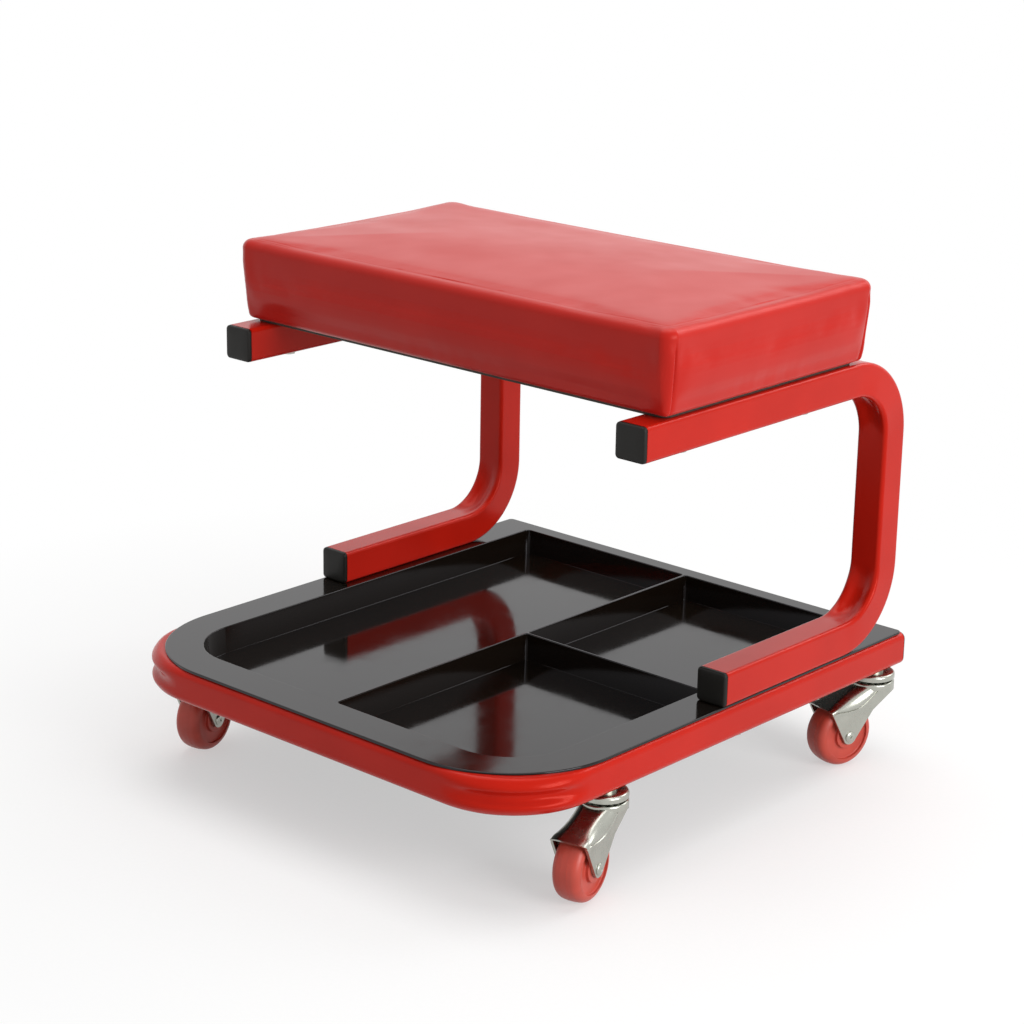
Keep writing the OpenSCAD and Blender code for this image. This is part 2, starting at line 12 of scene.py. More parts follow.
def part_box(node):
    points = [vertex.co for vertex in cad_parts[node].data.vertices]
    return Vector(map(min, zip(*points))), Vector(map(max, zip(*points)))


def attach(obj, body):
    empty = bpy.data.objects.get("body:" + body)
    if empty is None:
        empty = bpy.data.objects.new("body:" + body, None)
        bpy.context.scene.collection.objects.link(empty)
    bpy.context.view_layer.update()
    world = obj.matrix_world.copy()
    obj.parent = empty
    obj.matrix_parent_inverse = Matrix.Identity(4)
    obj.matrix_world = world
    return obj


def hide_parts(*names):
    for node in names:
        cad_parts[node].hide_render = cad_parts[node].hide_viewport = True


bl_info = {
    "name": "Creeper Seat Looks",
    "version": (1, 0, 0),
    "blender": (4, 5, 0),
    "location": "View3D > Sidebar > Creeper Seat",
    "description": "Builds the visible pieces and finishes of a creeper seat round its frame",
    "category": "Object",
}

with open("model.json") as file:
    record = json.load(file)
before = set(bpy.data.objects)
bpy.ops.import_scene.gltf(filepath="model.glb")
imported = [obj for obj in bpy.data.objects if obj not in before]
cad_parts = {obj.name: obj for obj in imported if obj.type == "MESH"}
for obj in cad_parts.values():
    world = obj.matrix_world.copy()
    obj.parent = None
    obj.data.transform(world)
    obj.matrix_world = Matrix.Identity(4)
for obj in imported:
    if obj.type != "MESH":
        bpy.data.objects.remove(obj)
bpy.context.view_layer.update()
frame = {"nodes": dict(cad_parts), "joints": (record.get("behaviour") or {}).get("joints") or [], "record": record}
MM = 0.001
CASTERS = ("front_left", "front_right", "rear_left", "rear_right")

BASE_LOW, BASE_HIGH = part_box("base_frame")
TRAY_LOW, TRAY_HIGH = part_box("tray")
CUSHION_LOW, CUSHION_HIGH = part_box("seat_cushion")
BOARD_LOW, BOARD_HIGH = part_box("seat_board")
TUBE = BASE_HIGH.z - BASE_LOW.z

# The board is drawn a little smaller, so that the cover has room to roll in under it
BOARD_TRIM = 3 * MM
# Room between the board and the wall of the pad's pocket, and over the board
POCKET_GAP, POCKET_RISE = 0.4 * MM, 0.3 * MM
# The pad's grid lines between which the wall of its pocket stands
POCKET_WALL = (5 * MM, 5.25 * MM)
# The cover ends a little above the arms, so that a dark gap shows under it
PAD_FOOT = BOARD_LOW.z + 2 * MM
# Room between the wheel and the line of the fork's hood
HOOD_ROOM = 3.5 * MM
# Depth of a channel that reaches right past the fork
FAR = 65 * MM
# Rows of a tube's bend, and the angles of a rounded edge
BEND_ROWS = 36
QUARTER = np.linspace(0, math.pi / 2, 5)


# Sizes and colours

def linear(hex_value):
    """Linear RGBA of an sRGB hex colour."""
    parts = [int(hex_value[i:i + 2], 16) / 255 for i in (1, 3, 5)]
    return tuple(
        c / 12.92 if c <= 0.04045 else ((c + 0.055) / 1.055) ** 2.4 for c in parts) + (1.0,)


def colour_property(name, description, hex_value):
    """A colour property with its default in linear values."""
    return bpy.props.FloatVectorProperty(
        name=name, description=description, subtype="COLOR", size=4,
        min=0.0, max=1.0, default=linear(hex_value))


def length_property(name, description, default, low, high):
    """A length property with its default and its limits, in metres."""
    return bpy.props.FloatProperty(
        name=name, description=description, default=default, min=low, max=high, unit="LENGTH")


class BaseFrameSizes(bpy.types.PropertyGroup):
    """Sizes of the square tube and of the base frame's bends."""

    corner: length_property(
        "Tube Corner", "Corner radius of the base tube's section", 0.005, 0.001, 0.008)
    wall: length_property("Tube Wall", "Wall of the tube", 0.0015, 0.0008, 0.003)
    bend: length_property("Base Bend", "Outside radius of the two front bends", 0.070, 0.05, 0.12)
    dent: length_property("Crease Depth", "How far a bend's wall is pressed in", 0.003, 0.0, 0.004)
    rear_bar: length_property(
        "Rear Bar Depth", "Depth of the slim bar between the rails", 0.010, 0.006, 0.02)


class SideFrameSizes(bpy.types.PropertyGroup):
    """Sizes of the two C frames."""

    corner: length_property(
        "Tube Corner", "Corner radius of the C frames' tube", 0.0028, 0.001, 0.008)
    bend: length_property("Frame Bend", "Outside radius of the rear bends", 0.061, 0.04, 0.1)
    dent: length_property(
        "Crease Depth", "How far the inside of a bend is pressed in", 0.0026, 0.0, 0.006)
    cap_head: length_property(
        "Cap Head", "How far a cap stands out of its arm", 0.0035, 0.001, 0.01)
    cap_round: length_property(
        "Cap Rounding", "Radius round the face of a cap", 0.0016, 0.0005, 0.003)


class TraySizes(bpy.types.PropertyGroup):
    """Sizes of the moulded tray."""

    wall: length_property("Wall", "Wall of the moulding", 0.002, 0.001, 0.004)
    depth: length_property("Bay Depth", "Depth of the bays below the flange", 0.0205, 0.01, 0.04)
    flange: length_property(
        "Flange", "Width of the flange at the sides and the front", 0.031, 0.02, 0.05)
    rear_flange: length_property(
        "Rear Flange", "Width of the flange at the rear", 0.0135, 0.008, 0.03)
    divider_y: length_property(
        "Cross Divider", "Place of the cross divider from the middle", 0.012, -0.1, 0.1)
    corner: length_property(
        "Front Corner", "Outside radius of the flange's front corners", 0.086, 0.04, 0.1)
    bay_corner: length_property(
        "Bay Corner", "Radius of the bays' front corners", 0.048, 0.01, 0.06)
    edge: length_property(
        "Edge Rounding", "Rounding of the rims and the dividers", 0.0007, 0.0002, 0.0012)
    fillet: length_property(
        "Floor Fillet", "Radius between the walls and the floor", 0.0003, 0.0002, 0.005)


class CushionSizes(bpy.types.PropertyGroup):
    """Sizes of the padded seat."""

    corner: length_property(
        "Plan Corner", "Radius of the pad's upright corners", 0.0112, 0.0112, 0.04)
    edge: length_property("Top Edge", "Radius round the top of the pad", 0.0065, 0.003, 0.0078)
    foot: length_property("Foot Edge", "Radius round the foot of the pad", 0.0035, 0.001, 0.004)
    draw_in: length_property(
        "Draw In", "How far the sides come in from top to foot", 0.0068, 0.0, 0.007)
    crown: length_property(
        "Crown", "Rise of the top from its edge to its middle", 0.004, 0.0, 0.012)
    swell_cap: length_property(
        "Swell Limit", "How far a point may move under pressure", 0.0018, 0.0005, 0.02)
    pleat: length_property("Pleat Step", "Height of the fold at each corner", 0.0011, 0.0, 0.002)


class CasterSizes(bpy.types.PropertyGroup):
    """Sizes of the casters' dressed pieces."""

    tread_round: length_property(
        "Tread Rounding", "Radius at the edges of the tread", 0.006, 0.001, 0.008)
    hub: length_property("Hub Radius", "Radius of the hub's face", 0.010, 0.006, 0.015)
    recess: length_property(
        "Face Recess", "Depth of the ring in the wheel's face", 0.0022, 0.0, 0.005)
    fork_width: length_property(
        "Fork Width", "Width over the fork's side plates", 0.028, 0.02, 0.04)
    sheet: length_property("Fork Sheet", "Thickness of the fork's steel", 0.002, 0.001, 0.003)
    hood_bend: length_property(
        "Hood Bend", "Widest radius of the fork's long bends", 0.0092, 0.003, 0.01)
    hood_start: length_property(
        "Hood Start", "Where the hood leaves the disc, from the swivel axis", 0.0102, 0.0, 0.02)
    fork_back: length_property(
        "Fork Back", "How far the side plates reach behind the swivel axis", 0.0098, 0.005, 0.016)
    skirt: length_property(
        "Skirt", "Depth of the side plates at their rear ends", 0.005, 0.001, 0.01)
    boss: length_property(
        "Axle Boss", "Radius of the side plates round the axle", 0.006, 0.005, 0.009)
    disc: length_property("Disc", "Diameter of the fork's swivel disc", 0.034, 0.03, 0.04)
    rim: length_property("Disc Rim", "Depth of the rim round the disc", 0.0026, 0.0, 0.005)
    emboss: length_property(
        "Embossed Line", "Depth of the line pressed in beside the long bends", 0.0007, 0.0, 0.001)


class FastenerSizes(bpy.types.PropertyGroup):
    """Sizes of the bolts, washers, nuts, rivets and balls."""

    across_flats: length_property(
        "Across Flats", "Width of the bolts' heads and nuts", 0.010, 0.006, 0.017)
    head: length_property(
        "Head Height", "Height of the bolts' heads, drawn low", 0.0018, 0.001, 0.005)
    nut: length_property("Nut Height", "Height of the nuts", 0.005, 0.002, 0.01)
    shank: length_property("Shank Diameter", "Diameter of the bolts", 0.006, 0.004, 0.01)
    washer: length_property("Washer Diameter", "Outside diameter of the washers", 0.014, 0.01, 0.02)
    washer_wall: length_property(
        "Washer Thickness", "Thickness of the washers", 0.0012, 0.0006, 0.002)
    rivet: length_property(
        "Rivet Head", "Radius of the domed heads of the axles", 0.0042, 0.0034, 0.006)
    balls: bpy.props.IntProperty(
        name="Balls", description="Number of balls in each race", default=14, min=8, max=16)


class FinishColours(bpy.types.PropertyGroup):
    """Colours of the finishes."""

    enamel: colour_property("Enamel", "Red enamel on the tubes", "#C82012")
    vinyl: colour_property("Vinyl", "Vinyl of the cushion", "#C5241C")
    tray: colour_property("Tray", "Gloss black tray plastic", "#150F0A")
    cap: colour_property("Caps", "Black plastic of the caps", "#13110D")
    zinc: colour_property("Zinc", "Zinc plating of the casters", "#B4B5AC")
    tyre: colour_property("Wheels", "Cast polyurethane of the wheels", "#CB4B3B")


# Nodes and materials

# The Mix node's sockets for colours, by number because their names repeat
SHARE, FIRST, SECOND, MIXED = 0, 6, 7, 2


def node(tree, kind, inputs=None, **settings):
    """Adds a node, sets its own settings, and fills its sockets with values or links."""
    made = tree.nodes.new(kind)
    for name, value in settings.items():
        setattr(made, name, value)
    for key, value in (inputs or {}).items():
        if isinstance(value, bpy.types.NodeSocket):
            tree.links.new(value, made.inputs[key])
        else:
            made.inputs[key].default_value = value
    return made


def start_material(name):
    """An empty node material, its tree, and the place on the object that patterns read."""
    material = bpy.data.materials.new(name)
    material.use_nodes = True
    tree = material.node_tree
    tree.nodes.clear()
    return material, tree, node(tree, "ShaderNodeTexCoord").outputs["Object"]


def darker(colour, share):
    """A colour with its light cut to a share."""
    return tuple(c * share for c in colour[:3]) + (1.0,)


def two_tones(tree, pattern, low, high, colour, share):
    """A colour that a pattern between two values takes down to a share of its light."""
    amount = node(tree, "ShaderNodeMapRange", {
        "Value": pattern, "From Min": low, "From Max": high})
    return node(tree, "ShaderNodeMix", {
        SHARE: amount.outputs["Result"], FIRST: tuple(colour), SECOND: darker(colour, share)},
        data_type="RGBA").outputs[MIXED]


def enamel_material(colours):
    """Baked gloss enamel on steel tube: deep even red, with faint orange peel in reflections."""
    material, tree, place = start_material("baked_red_enamel")
    # The peel of a baked coat is 2 to 3 mm from crest to crest
    peel = node(tree, "ShaderNodeTexNoise", {
        "Vector": place, "Scale": 1 / (2.5 * MM), "Detail": 1.0}).outputs["Fac"]
    drift = node(tree, "ShaderNodeTexNoise", {
        "Vector": place, "Scale": 1 / (60 * MM), "Detail": 2.0}).outputs["Fac"]
    rough = node(tree, "ShaderNodeMapRange", {
        "Value": drift, "From Min": 0.3, "From Max": 0.7, "To Min": 0.2, "To Max": 0.27})
    bump = node(tree, "ShaderNodeBump", {"Height": peel, "Strength": 0.1, "Distance": 0.2 * MM})
    shader = node(tree, "ShaderNodeBsdfPrincipled", {
        "Base Color": two_tones(tree, drift, 0.35, 0.65, colours.enamel, 0.9),
        "Roughness": rough.outputs["Result"], "IOR": 1.5, "Specular IOR Level": 0.35,
        "Specular Tint": (1.0, 0.25, 0.2, 1.0), "Normal": bump.outputs["Normal"]})
    node(tree, "ShaderNodeOutputMaterial", {"Surface": shader.outputs["BSDF"]})
    return material


def vinyl_material(colours):
    """Calendered vinyl over foam: satin, with a fine pressed grain and broad pink highlights."""
    material, tree, place = start_material("red_seat_vinyl")
    # The real grain is about 0.4 mm. It is drawn at 0.9 mm so that it shows close up.
    grain = node(tree, "ShaderNodeTexVoronoi", {"Vector": place, "Scale": 1 / (0.9 * MM)},
                 feature="DISTANCE_TO_EDGE").outputs["Distance"]
    grain = node(tree, "ShaderNodeMapRange", {"Value": grain, "From Max": 0.25})
    cloudy = node(tree, "ShaderNodeTexNoise", {
        "Vector": place, "Scale": 1 / (50 * MM), "Detail": 2.0}).outputs["Fac"]
    rough = node(tree, "ShaderNodeMapRange", {
        "Value": cloudy, "From Min": 0.3, "From Max": 0.7, "To Min": 0.3, "To Max": 0.38})
    slack = node(tree, "ShaderNodeBump", {
        "Height": cloudy, "Strength": 0.3, "Distance": 0.8 * MM})
    bump = node(tree, "ShaderNodeBump", {
        "Height": grain.outputs["Result"], "Strength": 0.05, "Distance": 0.05 * MM,
        "Normal": slack.outputs["Normal"]})
    shader = node(tree, "ShaderNodeBsdfPrincipled", {
        "Base Color": two_tones(tree, cloudy, 0.35, 0.65, colours.vinyl, 0.93),
        "Roughness": rough.outputs["Result"], "IOR": 1.5, "Specular IOR Level": 0.32,
        "Specular Tint": (1.0, 0.45, 0.4, 1.0), "Sheen Weight": 0.12, "Sheen Roughness": 0.35,
        "Normal": bump.outputs["Normal"]})
    node(tree, "ShaderNodeOutputMaterial", {"Surface": shader.outputs["BSDF"]})
    return material


def tray_material(colours):
    """Moulded gloss ABS: near black, mirror-like, with a faint mould waviness and dust."""
    material, tree, place = start_material("gloss_black_abs")
    wave = node(tree, "ShaderNodeTexNoise", {
        "Vector": place, "Scale": 1 / (70 * MM), "Detail": 1.0}).outputs["Fac"]
    smear = node(tree, "ShaderNodeTexNoise", {
        "Vector": place, "Scale": 1 / (22 * MM), "Detail": 4.0, "Roughness": 0.6}).outputs["Fac"]
    rough = node(tree, "ShaderNodeMapRange", {
        "Value": smear, "From Min": 0.4, "From Max": 0.7, "To Min": 0.08, "To Max": 0.13})
    bump = node(tree, "ShaderNodeBump", {"Height": wave, "Strength": 0.2, "Distance": 0.2 * MM})
    shader = node(tree, "ShaderNodeBsdfPrincipled", {
        "Base Color": tuple(colours.tray), "Roughness": rough.outputs["Result"], "IOR": 1.6,
        "Specular Tint": (0.5, 0.5, 0.54, 1.0), "Normal": bump.outputs["Normal"]})
    node(tree, "ShaderNodeOutputMaterial", {"Surface": shader.outputs["BSDF"]})
    return material


def cap_material(colours):
    """Moulded polyethylene: dull black with a fine spark-eroded texture."""
    material, tree, place = start_material("matt_black_polyethylene")
    spark = node(tree, "ShaderNodeTexNoise", {
        "Vector": place, "Scale": 1 / (0.7 * MM), "Detail": 2.0}).outputs["Fac"]
    bump = node(tree, "ShaderNodeBump", {
        "Height": spark, "Strength": 0.25, "Distance": 0.12 * MM})
    shader = node(tree, "ShaderNodeBsdfPrincipled", {
        "Base Color": two_tones(tree, spark, 0.0, 1.0, colours.cap, 0.8),
        "Roughness": 0.48, "IOR": 1.51, "Specular IOR Level": 0.25,
        "Normal": bump.outputs["Normal"]})
    node(tree, "ShaderNodeOutputMaterial", {"Surface": shader.outputs["BSDF"]})
    return material


def zinc_material(colours, name, rough_low, rough_high, tone):
    """Zinc-plated pressed steel: pale grey metal with cloudy plating and a fine grain."""
    material, tree, place = start_material(name)
    cloud = node(tree, "ShaderNodeTexNoise", {
        "Vector": place, "Scale": 1 / (9 * MM), "Detail": 3.0, "Roughness": 0.6}).outputs["Fac"]
    fine = node(tree, "ShaderNodeTexNoise", {
        "Vector": place, "Scale": 1 / (1.2 * MM), "Detail": 2.0}).outputs["Fac"]
    rough = node(tree, "ShaderNodeMapRange", {
        "Value": cloud, "From Min": 0.3, "From Max": 0.7,
        "To Min": rough_low, "To Max": rough_high})
    bump = node(tree, "ShaderNodeBump", {"Height": fine, "Strength": 0.08, "Distance": 0.05 * MM})
    plating = darker(colours.zinc, tone)
    shader = node(tree, "ShaderNodeBsdfPrincipled", {
        "Base Color": two_tones(tree, cloud, 0.3, 0.7, plating, 0.86), "Metallic": 1.0,
        "Roughness": rough.outputs["Result"], "Normal": bump.outputs["Normal"]})
    node(tree, "ShaderNodeOutputMaterial", {"Surface": shader.outputs["BSDF"]})
    return material


def tyre_material(colours):
    """Cast polyurethane: satin orange red, slightly soft in the light, scuffed at the tread."""
    material, tree, place = start_material("cast_polyurethane")
    speck = node(tree, "ShaderNodeTexNoise", {
        "Vector": place, "Scale": 1 / (1.5 * MM), "Detail": 3.0}).outputs["Fac"]
    cloud = node(tree, "ShaderNodeTexNoise", {
        "Vector": place, "Scale": 1 / (14 * MM), "Detail": 2.0}).outputs["Fac"]
    rough = node(tree, "ShaderNodeMapRange", {
        "Value": speck, "From Min": 0.3, "From Max": 0.7, "To Min": 0.33, "To Max": 0.45})
    bump = node(tree, "ShaderNodeBump", {"Height": speck, "Strength": 0.1, "Distance": 0.08 * MM})
    shader = node(tree, "ShaderNodeBsdfPrincipled", {
        "Base Color": two_tones(tree, cloud, 0.35, 0.65, colours.tyre, 0.86),
        "Roughness": rough.outputs["Result"], "IOR": 1.49, "Subsurface Weight": 0.08,
        "Subsurface Scale": 2 * MM, "Normal": bump.outputs["Normal"]})
    node(tree, "ShaderNodeOutputMaterial", {"Surface": shader.outputs["BSDF"]})
    return material


def board_material():
    """Birch plywood under a black dip: matt, with open grain along the width and ply lines."""
    material, tree, place = start_material("black_stained_plywood")
    # Pores are about 1.4 mm apart and twelve times as long
    along = node(tree, "ShaderNodeMapping", {"Vector": place, "Scale": (0.08, 1.0, 1.0)})
    grain = node(tree, "ShaderNodeTexNoise", {
        "Vector": along.outputs["Vector"], "Scale": 1 / (1.4 * MM), "Detail": 4.0,
        "Roughness": 0.6}).outputs["Fac"]
    ply = node(tree, "ShaderNodeTexWave", {
        "Vector": place, "Scale": 1 / (4 * math.pi * MM), "Distortion": 0.6},
        bands_direction="Z").outputs["Fac"]
    pores = node(tree, "ShaderNodeMapRange", {"Value": grain, "From Min": 0.4, "From Max": 0.7})
    plies = node(tree, "ShaderNodeMapRange", {"Value": ply, "To Max": 0.25})
    grainy = node(tree, "ShaderNodeMix", {
        SHARE: pores.outputs["Result"], FIRST: linear("#211D19"), SECOND: linear("#383029")},
        data_type="RGBA")
    base = node(tree, "ShaderNodeMix", {
        SHARE: plies.outputs["Result"], FIRST: grainy.outputs[MIXED],
        SECOND: linear("#4A3D2E")}, data_type="RGBA")
    bump = node(tree, "ShaderNodeBump", {"Height": grain, "Strength": 0.3, "Distance": 0.15 * MM})
    shader = node(tree, "ShaderNodeBsdfPrincipled", {
        "Base Color": base.outputs[MIXED], "Roughness": 0.72, "Normal": bump.outputs["Normal"]})
    node(tree, "ShaderNodeOutputMaterial", {"Surface": shader.outputs["BSDF"]})
    return material


MATERIALS = {}


def make_materials(colours):
    """Makes every finish once."""
    MATERIALS.update(
        red_enamel=enamel_material(colours),
        red_vinyl=vinyl_material(colours),
        black_tray_plastic=tray_material(colours),
        black_cap_plastic=cap_material(colours),
        zinc_plated_steel=zinc_material(colours, "zinc_plated_steel", 0.2, 0.3, 1.0),
        bearing_steel=zinc_material(colours, "polished_bearing_steel", 0.1, 0.16, 0.8),
        polyurethane=tyre_material(colours),
        seat_board_wood=board_material(),
    )


# Mesh helpers

def place_object(name, data):
    """A new object of the scene that holds the given data."""
    made = bpy.data.objects.new(name, data)
    bpy.context.scene.collection.objects.link(made)
    return made


def make_piece(name, bm, body, slot, replaced=(), sharp=35.0, turn=True):
    """Turns a bmesh into a finished piece on its body, in its slot's material."""
    if turn:
        bmesh.ops.recalc_face_normals(bm, faces=bm.faces)
    mesh = bpy.data.meshes.new(name)
    bm.to_mesh(mesh)
    bm.free()
    mesh.shade_smooth()
    mesh.set_sharp_from_angle(angle=math.radians(sharp))
    made = place_object(name, mesh)
    made.data.materials.append(MATERIALS[slot])
    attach(made, body)
    if replaced:
        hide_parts(*replaced)


def apply_modifiers(made):
    """Keeps the result of an object's modifiers as its mesh and removes them."""
    graph = bpy.context.evaluated_depsgraph_get()
    result = bpy.data.meshes.new_from_object(
        made.evaluated_get(graph), preserve_all_data_layers=True, depsgraph=graph)
    made.modifiers.clear()
    made.data = result


def bridge(bm, rings, closed_ends=(False, False)):
    """Joins rings of equal length with quads. Returns the rings of vertices."""
    loops = [[bm.verts.new(p) for p in ring] for ring in rings]
    for low, high in zip(loops, loops[1:]):
        for k in range(len(low)):
            n = (k + 1) % len(low)
            bm.faces.new((low[k], low[n], high[n], high[k]))
    if closed_ends[0]:
        bm.faces.new(list(reversed(loops[0])))
    if closed_ends[1]:
        bm.faces.new(loops[-1])
    return loops


def fill_between(bm, loops):
    """Fills the flat face between an outer ring and the rings inside it."""
    edges = []
    for ring in loops:
        for k in range(len(ring)):
            pair = (ring[k], ring[(k + 1) % len(ring)])
            edges.append(bm.edges.get(pair) or bm.edges.new(pair))
    bmesh.ops.triangle_fill(bm, use_beauty=True, edges=edges)


def rounded_outline(x0, x1, y0, y1, radii, grow=0.0, steps=10):
    """Rounded rectangle as points, from its front left corner. Growing keeps its centres."""
    x0, x1, y0, y1 = x0 - grow, x1 + grow, y0 - grow, y1 + grow
    points = []
    corners = ((x0, y0, 1, 1, 180), (x1, y0, -1, 1, 270), (x1, y1, -1, -1, 0), (x0, y1, 1, -1, 90))
    for (x, y, sx, sy, start), radius in zip(corners, radii):
        r = max(radius + grow, 0.2 * MM)
        for k in range(steps + 1):
            a = math.radians(start + 90 * k / steps)
            points.append((x + sx * r + r * math.cos(a), y + sy * r + r * math.sin(a)))
    return points


def at_height(outline, z):
    """An outline's points at one height."""
    return [(x, y, z) for x, y in outline]


def tube_section(half, corner, arc_steps=7, flat_steps=18):
    """Rounded square as an array of points in u and v, with close lines beside its corners."""
    points = []
    flat, beside = half - corner, 0.5 * MM
    side = np.concatenate([
        [-flat], np.linspace(-flat + beside, flat - beside, flat_steps), [flat]])
    for quarter in range(4):
        a = math.radians(90 * quarter)
        turn = np.array([[math.cos(a), -math.sin(a)], [math.sin(a), math.cos(a)]])
        run = [turn @ (half, s) for s in side]
        arc = [turn @ (flat + corner * math.cos(t), flat + corner * math.sin(t))
               for t in np.linspace(0, math.pi / 2, arc_steps + 1)[1:-1]]
        points += run + arc
    return np.array(points)


def smooth_step(low, high, value):
    """0 below low, 1 above high, smooth between."""
    t = np.clip((value - low) / (high - low), 0, 1)
    return t * t * (3 - 2 * t)


def pressed(section, half, side, depth, width, lobe):
    """A tube section whose wall at that side is pressed in, between two bulged lobes."""
    u, v = section[:, 0].copy(), section[:, 1].copy()
    lobe_place, lobe_width, cheek_share = 0.52 * half, 0.25 * half, 0.3
    # Only the wall at that side moves, and the walls beside it bulge a little at its edges
    near = np.clip(side * u / half, 0, 1) ** 10
    cheek = (np.abs(v) / half) ** 10 * np.clip(0.5 + 0.5 * side * u / half, 0, 1)
    groove = 1 - smooth_step(0.1, 1.0, np.abs(v) / (width * half))
    lobes = np.exp(-((np.abs(v) - lobe_place) / lobe_width) ** 2)
    new_u = u + side * depth * near * (lobe * lobes - groove)
    new_v = v + np.sign(v) * cheek_share * depth * cheek
    return np.stack([new_u, new_v], 1)


class Path:
    """Stations along straight runs and quarter bends: place, outward direction, press depth."""

    def __init__(self):
        self.stations = []

    def straight(self, start, end, outward, count):
        """Adds evenly spaced stations, without the last one."""
        for t in np.linspace(0, 1, count, endpoint=False):
            self.stations.append((np.array(start) * (1 - t) + np.array(end) * t,
                                  np.array(outward, float), 0.0))

    def turn(self, centre, radius, first, second, count):
        """Adds a bend round a centre, from one outward direction to the other."""
        for t in np.linspace(0, 1, count, endpoint=False):
            a = t * math.pi / 2
            out = math.cos(a) * np.array(first, float) + math.sin(a) * np.array(second, float)
            # The press grows from each end of the bend and is full over its middle
            reach = min(1.0, 1.3 * math.sin(math.pi * t) ** 1.3)
            self.stations.append((np.array(centre) + radius * out, out, reach))

    def end(self, place, outward):
        """Adds the last station."""
        self.stations.append((np.array(place), np.array(outward, float), 0.0))


def sweep_tube(bm, path, across, corner, wall, press, hollow):
    """Sweeps the tube along a path. press is the side, depth, width and lobe of its bends.

    Its two ends are bored to the given depth for their plugs."""
    half, least = TUBE / 2, 0.8 * MM
    side, depth, width, lobe = press
    across = np.array(across, float)
    plain = tube_section(half, corner)
    rings = []
    for place, outward, reach in path.stations:
        section = pressed(plain, half, side, depth * reach, width, lobe)
        rings.append([place + u * outward + v * across for u, v in section])
    loops = bridge(bm, rings)
    bore = tube_section(half - wall, max(corner - wall, least))
    for loop, (place, outward, _), (inner, _, _) in (
            (loops[0], path.stations[0], path.stations[1]),
            (loops[-1], path.stations[-1], path.stations[-2])):
        inwards = (inner - place) / np.linalg.norm(inner - place)
        rims = [[place + inwards * d + u * outward + v * across for u, v in bore]
                for d in (0.0, hollow)]
        inside = bridge(bm, rims)
        for k in range(len(loop)):
            n = (k + 1) % len(loop)
            bm.faces.new((loop[k], loop[n], inside[0][n], inside[0][k]))
        bm.faces.new(inside[-1])


# Tubes, caps and plugs

def build_base_frame(sizes):
    """The bent U and the slim bar between the ends of its rails."""
    half = TUBE / 2
    z = BASE_LOW.z + half
    x, front, rear = BASE_HIGH.x - half, BASE_LOW.y + half, BASE_HIGH.y
    mid_r = sizes.bend - half
    turn_x, turn_y = x - mid_r, front + mid_r
    path = Path()
    path.straight((-x, rear, z), (-x, turn_y, z), (-1, 0, 0), 24)
    path.turn((-turn_x, turn_y, z), mid_r, (-1, 0, 0), (0, -1, 0), BEND_ROWS)
    path.straight((-turn_x, front, z), (turn_x, front, z), (0, -1, 0), 16)
    path.turn((turn_x, turn_y, z), mid_r, (0, -1, 0), (1, 0, 0), BEND_ROWS)
    path.straight((x, turn_y, z), (x, rear, z), (1, 0, 0), 24)
    path.end((x, rear, z), (1, 0, 0))
    bm = bmesh.new()
    sweep_tube(bm, path, (0, 0, 1), sizes.corner, sizes.wall, (1, sizes.dent, 0.5, 0.35), 9 * MM)
    bar_y, bar_corner = TRAY_HIGH.y - sizes.rear_bar / 2, 2 * MM
    span = x - half + sizes.corner / 4
    ends = [tube_ring((s * span, bar_y, z), sizes.rear_bar / 2, half, bar_corner)
            for s in (-1, 1)]
    bridge(bm, ends, (True, True))
    make_piece("base_tube_frame", bm, "root", "red_enamel", ["base_frame"])


def tube_ring(place, half_y, half_z, corner):
    """A rounded rectangle across X at a place."""
    outline = rounded_outline(-half_y, half_y, -half_z, half_z, [corner] * 4, steps=4)
    return [(place[0], place[1] + a, place[2] + b) for a, b in outline]


def weld_bead(bm, points, normal_a, normal_b, radius, seed):
    """A rippled bead along points, lying between two faces."""
    rng = np.random.default_rng(seed)
    a, b = np.array(normal_a, float), np.array(normal_b, float)
    ripple, spread, tip = 0.12, 0.06, 0.35
    rings = []
    for k, p in enumerate(points):
        r = radius * (1 + ripple * math.sin(2.4 * k) + spread * rng.standard_normal())
        if k in (0, len(points) - 1):
            r *= tip
        rings.append([np.array(p) + r * (math.cos(t) * a + math.sin(t) * b)
                      for t in np.linspace(0, 2 * math.pi, 10, endpoint=False)])
    bridge(bm, rings, (True, True))


def build_weld_beads(sizes):
    """Beads where the rear bar meets the rails."""
    x = BASE_HIGH.x - TUBE
    y0, y1 = TRAY_HIGH.y - sizes.rear_bar, TRAY_HIGH.y
    z0, z1 = BASE_LOW.z + 2 * MM, BASE_HIGH.z - 2 * MM
    upright, flat = 1.6 * MM, 1.4 * MM
    bm = bmesh.new()
    for seed, s in enumerate((-1, 1)):
        for y, out in ((y0, -1), (y1, 1)):
            line = [(s * x, y, z) for z in np.linspace(z0, z1, 20)]
            weld_bead(bm, line, (-s, 0, 0), (0, out, 0), upright, seed)
        line = [(s * x, y, BASE_LOW.z) for y in np.linspace(y0 + 1 * MM, y1 - 1 * MM, 9)]
        weld_bead(bm, line, (-s, 0, 0), (0, 0, -1), flat, 7 + seed)
    make_piece("rear_bar_welds", bm, "root", "red_enamel")


